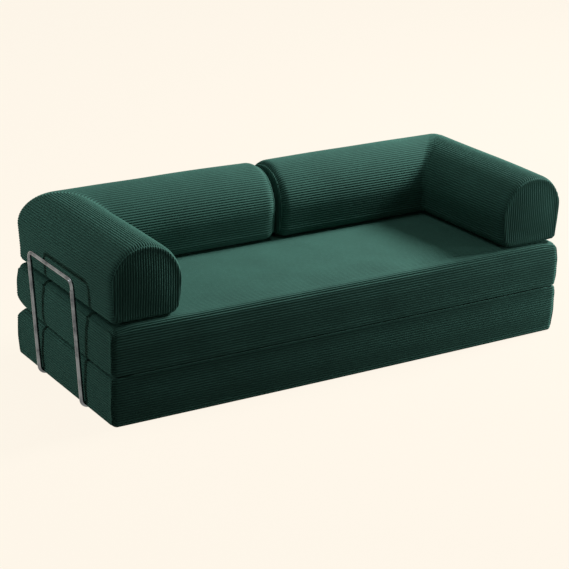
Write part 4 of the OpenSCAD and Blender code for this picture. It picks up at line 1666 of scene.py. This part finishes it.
def weave_group() -> bpy.types.NodeTree:
    """Make a plain weave of threads that pass over and under, on object coordinates.

    Threads is sin(x) * sin(y + z) at the threads' pitch, and slow noise varies its shade.

    Returns:
        The group, with outputs Colour and Height.
    """
    wires, use, tree = group(
        "Weave", {"Deep colour": BLACK, "Thread colour": BLACK, "Threads": 1000.0},
        {"Colour": "NodeSocketColor", "Height": "NodeSocketFloat"})
    where = wires.place()
    spot = wires.node("SeparateXYZ", {0: where})
    lines = spot.outputs[0], wires.total(spot.outputs[1], spot.outputs[2])
    waves = [
        wires.math("SINE", wires.product(wires.product(line, use["Threads"]), math.pi))
        for line in lines]
    threads = wires.ramp(wires.product(*waves), -1.0, 1.0, 0.0, 1.0)
    slow = wires.ramp(wires.noise(where, 30.0, 3.0), 0.3, 0.7, 0.7, 1.0)
    share = wires.product(threads, slow)
    finish_group(wires, {
        "Colour": wires.blend(share, use["Deep colour"], use["Thread colour"]), "Height": threads})
    return tree


def handled_and_reflection_group() -> bpy.types.NodeTree:
    """Make the fine marks of handled metal and plastic, on object coordinates.

    Broad noise dulls the clean colour and roughens it, and fine noise is its relief. On the
    bright tube its darker patches are painted dark reflections of the room.

    Returns:
        The group, with outputs Colour, Roughness and Height.
    """
    wires, use, tree = group(
        "Handled surface",
        {"Clean colour": BLACK, "Dull colour": BLACK, "Smooth": 0.1, "Rough": 0.3, "Scale": 40.0},
        {"Colour": "NodeSocketColor", "Roughness": "NodeSocketFloat", "Height": "NodeSocketFloat"})
    where = wires.place()
    share = wires.ramp(wires.noise(where, use["Scale"], 5.0, 0.6), 0.42, 0.72, 0.0, 1.0)
    more = wires.product(wires.difference(use["Rough"], use["Smooth"]), share)
    finish_group(wires, {
        "Colour": wires.blend(share, use["Clean colour"], use["Dull colour"]),
        "Roughness": wires.total(use["Smooth"], more),
        "Height": wires.noise(where, wires.product(use["Scale"], 14.0), 3.0)})
    return tree


def bare_material(name: str) -> tuple[bpy.types.Material, Wires, bpy.types.Node]:
    """Start a material with one Principled shader.

    Args:
        name: The material's name.

    Returns:
        The material, its wires and its shader.
    """
    made = bpy.data.materials.new(name)
    made.use_nodes = True
    wires = Wires(made.node_tree)
    shader = wires.node("BsdfPrincipled")
    wires.node("OutputMaterial", {"Surface": shader.outputs[0]})
    return made, wires, shader


def opaque(colour: Colour) -> tuple[float, float, float, float]:
    """Return a colour at full opacity."""
    return (*colour, 1.0)


def dress_shader(wires: Wires, shader: bpy.types.Node, placed: dict, distance: float,
                 strength: float) -> None:
    """Join colour, roughness and a relief to a shader.

    Args:
        wires: The material's wires.
        shader: Its shader.
        placed: Sockets by name: Colour, Height and perhaps Roughness.
        distance: The relief's height for a value of 1.
        strength: How much of the relief shows.
    """
    bump = wires.node(
        "Bump", {"Height": placed["Height"], "Distance": distance, "Strength": strength})
    wires.feed(shader, {"Base Color": placed["Colour"], "Normal": bump.outputs[0]})
    if "Roughness" in placed.keys():
        wires.feed(shader, {"Roughness": placed["Roughness"]})


@dataclass(frozen=True)
class RibbedFinish:
    """Dark green ribbed cloth with a soft pile, painted groove shade and painted rib highlights."""

    # The first colour is a painted shade for the lines between the ribs, and the width is how far
    # up the ribs that painted shade reaches.
    line: Colour = (0.009, 0.032, 0.025)
    rib: Colour = (0.040, 0.124, 0.098)
    # A paler colour for rubbed rib tops that also paints a highlight on them, mixed in by the
    # weight further down.
    worn: Colour = (0.070, 0.185, 0.150)
    line_width: float = 0.80
    nap: float = 0.30
    wear: float = 0.5
    rib_height: float = 2.1
    shine: float = 0.12
    sheen: float = 0.10
    sheen_roughness: float = 0.40
    sheen_tint: Colour = (0.30, 0.80, 0.64)

    def material(self, pattern: bpy.types.NodeTree) -> bpy.types.Material:
        """Make the material.

        Args:
            pattern: The ribbed cloth's group.

        Returns:
            The material.
        """
        made, wires, shader = bare_material("Ribbed cloth green")
        placed = wires.node("Group", {
            "Line colour": opaque(self.line), "Rib colour": opaque(self.rib),
            "Worn colour": opaque(self.worn), "Line width": self.line_width, "Nap": self.nap,
            "Wear": self.wear, "Rib height": self.rib_height}, node_tree=pattern)
        dress_shader(wires, shader, placed.outputs, 0.001, 1.0)
        wires.feed(shader, {
            "Specular IOR Level": self.shine, "Sheen Weight": self.sheen,
            "Sheen Roughness": self.sheen_roughness, "Sheen Tint": opaque(self.sheen_tint)})
        return made


@dataclass(frozen=True)
class WovenFinish:
    """Plain woven cloth, such as a tape."""

    name: str
    deep: Colour
    thread: Colour
    threads: float = 900.0
    roughness: float = 0.85
    shine: float = 0.1
    dots: float = 0.0
    dot_colour: Colour = (0.045, 0.047, 0.05)
    dot_height: float = 3.0

    def material(self, pattern: bpy.types.NodeTree) -> bpy.types.Material:
        """Make the material, with grip dots where it has them.

        Args:
            pattern: The weave's group.

        Returns:
            The material.
        """
        made, wires, shader = bare_material(self.name)
        placed = wires.node("Group", {
            "Deep colour": opaque(self.deep), "Thread colour": opaque(self.thread),
            "Threads": self.threads}, node_tree=pattern)
        sockets = {"Colour": placed.outputs["Colour"], "Height": placed.outputs["Height"]}
        if self.dots > 0.0:
            spot = wires.node("SeparateXYZ", {0: wires.place()})
            shares = [wires.math("DIVIDE", spot.outputs[axis], self.dots) for axis in (0, 1)]
            offs = [wires.difference(wires.math("FRACT", share), 0.5) for share in shares]
            squares = [wires.math("POWER", off, 2.0) for off in offs]
            dot = wires.ramp(wires.math("SQRT", wires.total(*squares)), 0.22, 0.18, 0.0, 1.0)
            sockets["Colour"] = wires.blend(dot, sockets["Colour"], opaque(self.dot_colour))
            sockets["Height"] = wires.total(
                sockets["Height"], wires.product(dot, self.dot_height))
        dress_shader(wires, shader, sockets, 0.0002, 0.8)
        wires.feed(shader, {"Roughness": self.roughness, "Specular IOR Level": self.shine})
        return made


@dataclass(frozen=True)
class HandledAndReflectionFinish:
    """Metal or plastic with the marks of use, and painted dark reflections on the bright tube."""

    name: str
    clean: Colour
    # Colour of the darker noise patches: rubbed marks on the zip parts and caps, painted dark
    # reflections on the bright tube.
    dull_and_reflection: Colour
    smooth: float
    rough: float
    metal: float
    scale: float = 40.0
    relief: float = 0.02

    def material(self, pattern: bpy.types.NodeTree) -> bpy.types.Material:
        """Make the material.

        Args:
            pattern: The group of handled marks and painted reflections.

        Returns:
            The material.
        """
        made, wires, shader = bare_material(self.name)
        placed = wires.node("Group", {
            "Clean colour": opaque(self.clean), "Dull colour": opaque(self.dull_and_reflection),
            "Smooth": self.smooth, "Rough": self.rough, "Scale": self.scale}, node_tree=pattern)
        dress_shader(wires, shader, placed.outputs, 0.001, self.relief)
        wires.feed(shader, {"Metallic": self.metal})
        return made


@dataclass(frozen=True)
class FillingFinish:
    """Wadding or foam: noise or small cells in a pale colour."""

    name: str
    deep: Colour
    pale: Colour
    scale: float
    cells: bool
    roughness: float = 0.95

    def material(self) -> bpy.types.Material:
        """Make the material."""
        made, wires, shader = bare_material(self.name)
        where = wires.place()
        if self.cells:
            cells = wires.node("TexVoronoi", {"Vector": where, "Scale": self.scale})
            value = cells.outputs["Distance"]
        else:
            value = wires.noise(where, self.scale, 6.0, 0.7)
        share = wires.ramp(value, 0.2, 0.7, 0.0, 1.0)
        colour = wires.blend(share, opaque(self.deep), opaque(self.pale))
        dress_shader(wires, shader, {"Colour": colour, "Height": value}, 0.002, 0.6)
        wires.feed(shader, {"Roughness": self.roughness})
        return made


@dataclass
class SofaBed:
    """The whole sofa bed: its covers, wadding, tapes and zips, and the finish of every piece."""

    nodes: dict[str, bpy.types.Object]
    stuffing: Stuffing = Stuffing()
    pieces: dict[str, list[bpy.types.Object]] = field(default_factory=dict)

    def keep(self, finish: str, *pieces: bpy.types.Object) -> None:
        """Note pieces under the finish that they get."""
        self.pieces.setdefault(finish, []).extend(pieces)
        for piece in pieces:
            LOG.info("made %s: %d faces", piece.name, len(piece.data.polygons))

    def build_padding(self, form: PaddedForm, body: str, stem: str) -> None:
        """Make a padded form's cover and wadding.

        Args:
            form: The form.
            body: The body that it rides on.
            stem: The first part of its CAD nodes' names.
        """
        cover, wadding = form.cover(self.stuffing), form.wadding()
        looks = (cover, "_cover", "corduroy"), (wadding, "_wadding", "wadding")
        for piece, ending, slot in looks:
            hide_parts(stem + ending)
            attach(piece, body)
        self.keep("ribbed", cover)
        self.keep("wadding", wadding)

    def build(self) -> None:
        """Make every new piece."""
        self.build_padding(MattressLayer(name="upper_layer", seed=3), "upper_layer", "upper")
        self.build_padding(MattressLayer(
            name="lower_layer", seed=7, seam_z=0.195, upward=-1.0, height=0.194,
            edge_radius=0.014, crown=0.0, draw_height=0.20, channels_x=(0.272, 0.628),
            channels_y=(-0.178, 0.178)), "lower_layer", "lower")
        for form in (
            Bolster(name="left_bolster_ribbed", seed=11, side=Side.LEFT, outer_x=-1.001),
            Bolster(name="right_bolster_ribbed", seed=17, side=Side.RIGHT, outer_x=-1.010,
                    splay=0.030),
        ):
            stem = form.name.removesuffix("_ribbed")
            self.build_padding(form, stem, stem)
        self.keep("base", BaseCloth().build())
        self.keep("fold", FoldTape().build())
        for body, stem, left, right, height in (
            ("lower_layer", "lower_layer", -0.85, 0.85, 0.098),
            ("upper_layer", "upper_layer", -0.85, 0.85, 0.2915),
            ("left_bolster", "left_bolster_ribbed", -0.85, -0.1515, 0.4413),
            ("right_bolster", "right_bolster_ribbed", 0.1515, 0.85, 0.4413),
        ):
            node = body.removesuffix("_layer") + "_zip"
            tape, teeth = ZipTape(node, body, stem + "_cover", left, right, height).build()
            self.keep("zip_tape", tape)
            self.keep("zip_teeth", teeth)

    def dress(self) -> None:
        """Give every new piece and every CAD node its material."""
        ribbed, weave, handled = corduroy_group(), weave_group(), handled_and_reflection_group()
        finishes = {
            "ribbed": RibbedFinish().material(ribbed),
            "wadding": FillingFinish(
                "White wadding", (0.62, 0.62, 0.60), (0.86, 0.86, 0.84), 70.0, False).material(),
            "foam": FillingFinish(
                "Cream foam", (0.50, 0.42, 0.24), (0.80, 0.72, 0.48), 420.0, True).material(),
            "base": WovenFinish(
                "Grip cloth", (0.010, 0.011, 0.012), (0.030, 0.032, 0.035), 700.0,
                dots=0.012).material(weave),
            "fold": WovenFinish(
                "Green tape", (0.018, 0.056, 0.044), (0.036, 0.112, 0.088)).material(weave),
            "zip_tape": WovenFinish(
                "Zip tape", (0.005, 0.014, 0.011), (0.014, 0.038, 0.030), 1400.0).material(weave),
            "zip_teeth": HandledAndReflectionFinish(
                "Zip teeth", (0.020, 0.045, 0.036), (0.030, 0.060, 0.050), 0.30, 0.5,
                0.0).material(handled),
            "zip_metal": HandledAndReflectionFinish(
                "Zip slider", (0.42, 0.43, 0.43), (0.25, 0.26, 0.26), 0.20, 0.45,
                1.0, 150.0).material(handled),
            # Painted reflection: the tube's darker noise patches stand in for dark parts of the
            # room seen in the chrome.
            "bright_tube": HandledAndReflectionFinish(
                "Bright tube", (0.20, 0.22, 0.24), (0.045, 0.05, 0.06), 0.10, 0.22,
                1.0, 18.0, 0.01).material(handled),
            "cap": HandledAndReflectionFinish(
                "Black cap", (0.012, 0.012, 0.012), (0.030, 0.030, 0.030), 0.45, 0.7,
                0.0, 90.0, 0.2).material(handled),
        }
        endings = {
            "_hoop": "bright_tube", "_legs": "bright_tube", "_caps": "cap", "_slider": "zip_metal",
            "_pull": "zip_metal", "_foam": "foam", "_wadding": "wadding", "_cover": "ribbed",
            "_base_cloth": "base", "_tape": "fold", "_zip": "zip_tape"}
        for name, node in self.nodes.items():
            finish = next(value for ending, value in endings.items() if name.endswith(ending))
            self.pieces.setdefault(finish, []).append(node)
        for finish, pieces in self.pieces.items():
            for piece in pieces:
                piece.data.materials.clear()
                piece.data.materials.append(finishes[finish])
        LOG.info("dressed %d pieces", sum(map(len, self.pieces.values())))


@dataclass(frozen=True)
class Lamp:
    """A round soft lamp, by its place, its diameter and its power, that looks at the aim."""

    name: str
    place: Triple
    size: float
    watts: float
    aim: Triple = (0.0, 0.0, 0.3)

    def build(self) -> None:
        """Hang the lamp."""
        data = bpy.data.lights.new(self.name, "AREA")
        data.shape = "DISK"
        data.size = self.size
        data.energy = self.watts
        lamp = bpy.data.objects.new(self.name, data)
        lamp.location = self.place
        sight = Vector(self.aim) - Vector(self.place)
        lamp.rotation_euler = sight.to_track_quat("-Z", "Y").to_euler()
        bpy.context.scene.collection.objects.link(lamp)


@dataclass
class Studio:
    """The pale floor and backdrop, the lamps and the camera."""

    cream: Colour = (1.0, 0.930, 0.823)
    shadow_share: float = 0.03
    floor_half: float = 30.0
    floor_drop: float = 0.0006
    azimuth: float = math.radians(-32.70)
    elevation: float = math.radians(20.55)
    roll: float = math.radians(1.724)
    distance: float = 7.302
    target: Triple = (-0.046, 0.0, 0.2504)
    sensor: float = 36.0
    lens_in_pixels: float = 1856.8
    picture_in_pixels: float = 569.0
    lamps: tuple[Lamp, ...] = (
        Lamp("key_right", (5.9, -0.15, 4.3), 2.1, 880.0),
        Lamp("overhead", (-0.2, 0.0, 3.2), 1.6, 14.0),
        Lamp("front_right", (2.0, -1.3, 0.5), 0.3, 8.0),
        Lamp("low_left", (-2.7, 0.7, 0.8), 0.2, 9.5),
    )

    def build_camera(self) -> None:
        """Place the camera on its line of sight, turned by the roll."""
        back = np.array([
            math.sin(self.azimuth) * math.cos(self.elevation),
            -math.cos(self.azimuth) * math.cos(self.elevation), math.sin(self.elevation)])
        right = np.array([math.cos(self.azimuth), math.sin(self.azimuth), 0.0])
        up = np.cross(back, right)
        turned_right = math.cos(self.roll) * right + math.sin(self.roll) * up
        turned_up = -math.sin(self.roll) * right + math.cos(self.roll) * up
        matrix = np.eye(4)
        eye = np.array(self.target) + back * self.distance
        matrix[:3, :4] = np.column_stack([turned_right, turned_up, back, eye])
        data = bpy.data.cameras.new("camera")
        data.lens = self.sensor * self.lens_in_pixels / self.picture_in_pixels
        data.sensor_width = self.sensor
        data.sensor_fit = "HORIZONTAL"
        data.clip_end = 100.0
        camera = bpy.data.objects.new("camera", data)
        camera.matrix_world = Matrix(matrix.tolist())
        bpy.context.scene.collection.objects.link(camera)
        bpy.context.scene.camera = camera

    def build_floor(self) -> None:
        """Lay the floor: cream to the eye and in reflections, dark to soft light."""
        edge = np.array([[-1, -1, 0], [1, -1, 0], [1, 1, 0], [-1, 1, 0]]) * self.floor_half
        floor = new_piece("floor", edge, np.array([[0, 1, 2, 3]]))
        floor.location.z = -self.floor_drop
        made = bpy.data.materials.new("Studio floor")
        made.use_nodes = True
        wires = Wires(made.node_tree)
        glow = wires.node("Emission", {0: opaque(self.cream), 1: 1.0 - self.shadow_share})
        shadow = tuple(part * self.shadow_share for part in self.cream)
        pale = wires.node("BsdfDiffuse", {0: opaque(shadow)})
        dark = wires.node("BsdfDiffuse", {0: (0.06, 0.06, 0.06, 1.0)})
        lit = wires.node("AddShader", {0: glow.outputs[0], 1: pale.outputs[0]})
        both = wires.node("MixShader", {0: self.seen(wires), 1: dark.outputs[0], 2: lit.outputs[0]})
        wires.node("OutputMaterial", {"Surface": both.outputs[0]})
        floor.data.materials.append(made)

    def seen(self, wires: Wires) -> Socket:
        """Tell the rays of sight from soft light.

        Args:
            wires: The wires to add it to.

        Returns:
            1 for rays from the camera or from a reflection, and 0 for soft light.
        """
        rays = wires.node("LightPath").outputs
        sharp = wires.total(rays["Is Glossy Ray"], rays["Is Transmission Ray"])
        return wires.math("ADD", rays["Is Camera Ray"], sharp, clamp=True)

    def build_world(self) -> None:
        """Fill the room with weak even light, and show the backdrop's cream to the eye."""
        world = bpy.data.worlds.new("room")
        world.use_nodes = True
        wires = Wires(world.node_tree)
        shown = wires.node("Background", {0: opaque(self.cream), 1: 1.0})
        soft = wires.node("Background", {0: (1.0, 0.98, 0.95, 1.0), 1: 0.05})
        both = wires.node(
            "MixShader", {0: self.seen(wires), 1: soft.outputs[0], 2: shown.outputs[0]})
        wires.node("OutputWorld", {"Surface": both.outputs[0]})
        bpy.context.scene.world = world

    def build(self) -> None:
        """Make the whole studio."""
        self.build_camera()
        self.build_floor()
        self.build_world()
        for lamp in self.lamps:
            lamp.build()
        bpy.context.scene.view_settings.view_transform = "Standard"
        LOG.info("built the studio")


def corners(box: tuple) -> list[list[float]]:
    """A box's two corners as plain lists of numbers."""
    return [[float(value) for value in corner] for corner in box]


def main() -> None:
    """Load the frame, build the studio and the sofa bed around it."""
    logging.basicConfig(level=logging.INFO, format="%(message)s")
    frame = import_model()
    Studio().build()
    sofa = SofaBed(frame["nodes"])
    sofa.build()
    sofa.dress()


if __name__ == "__main__":
    main()
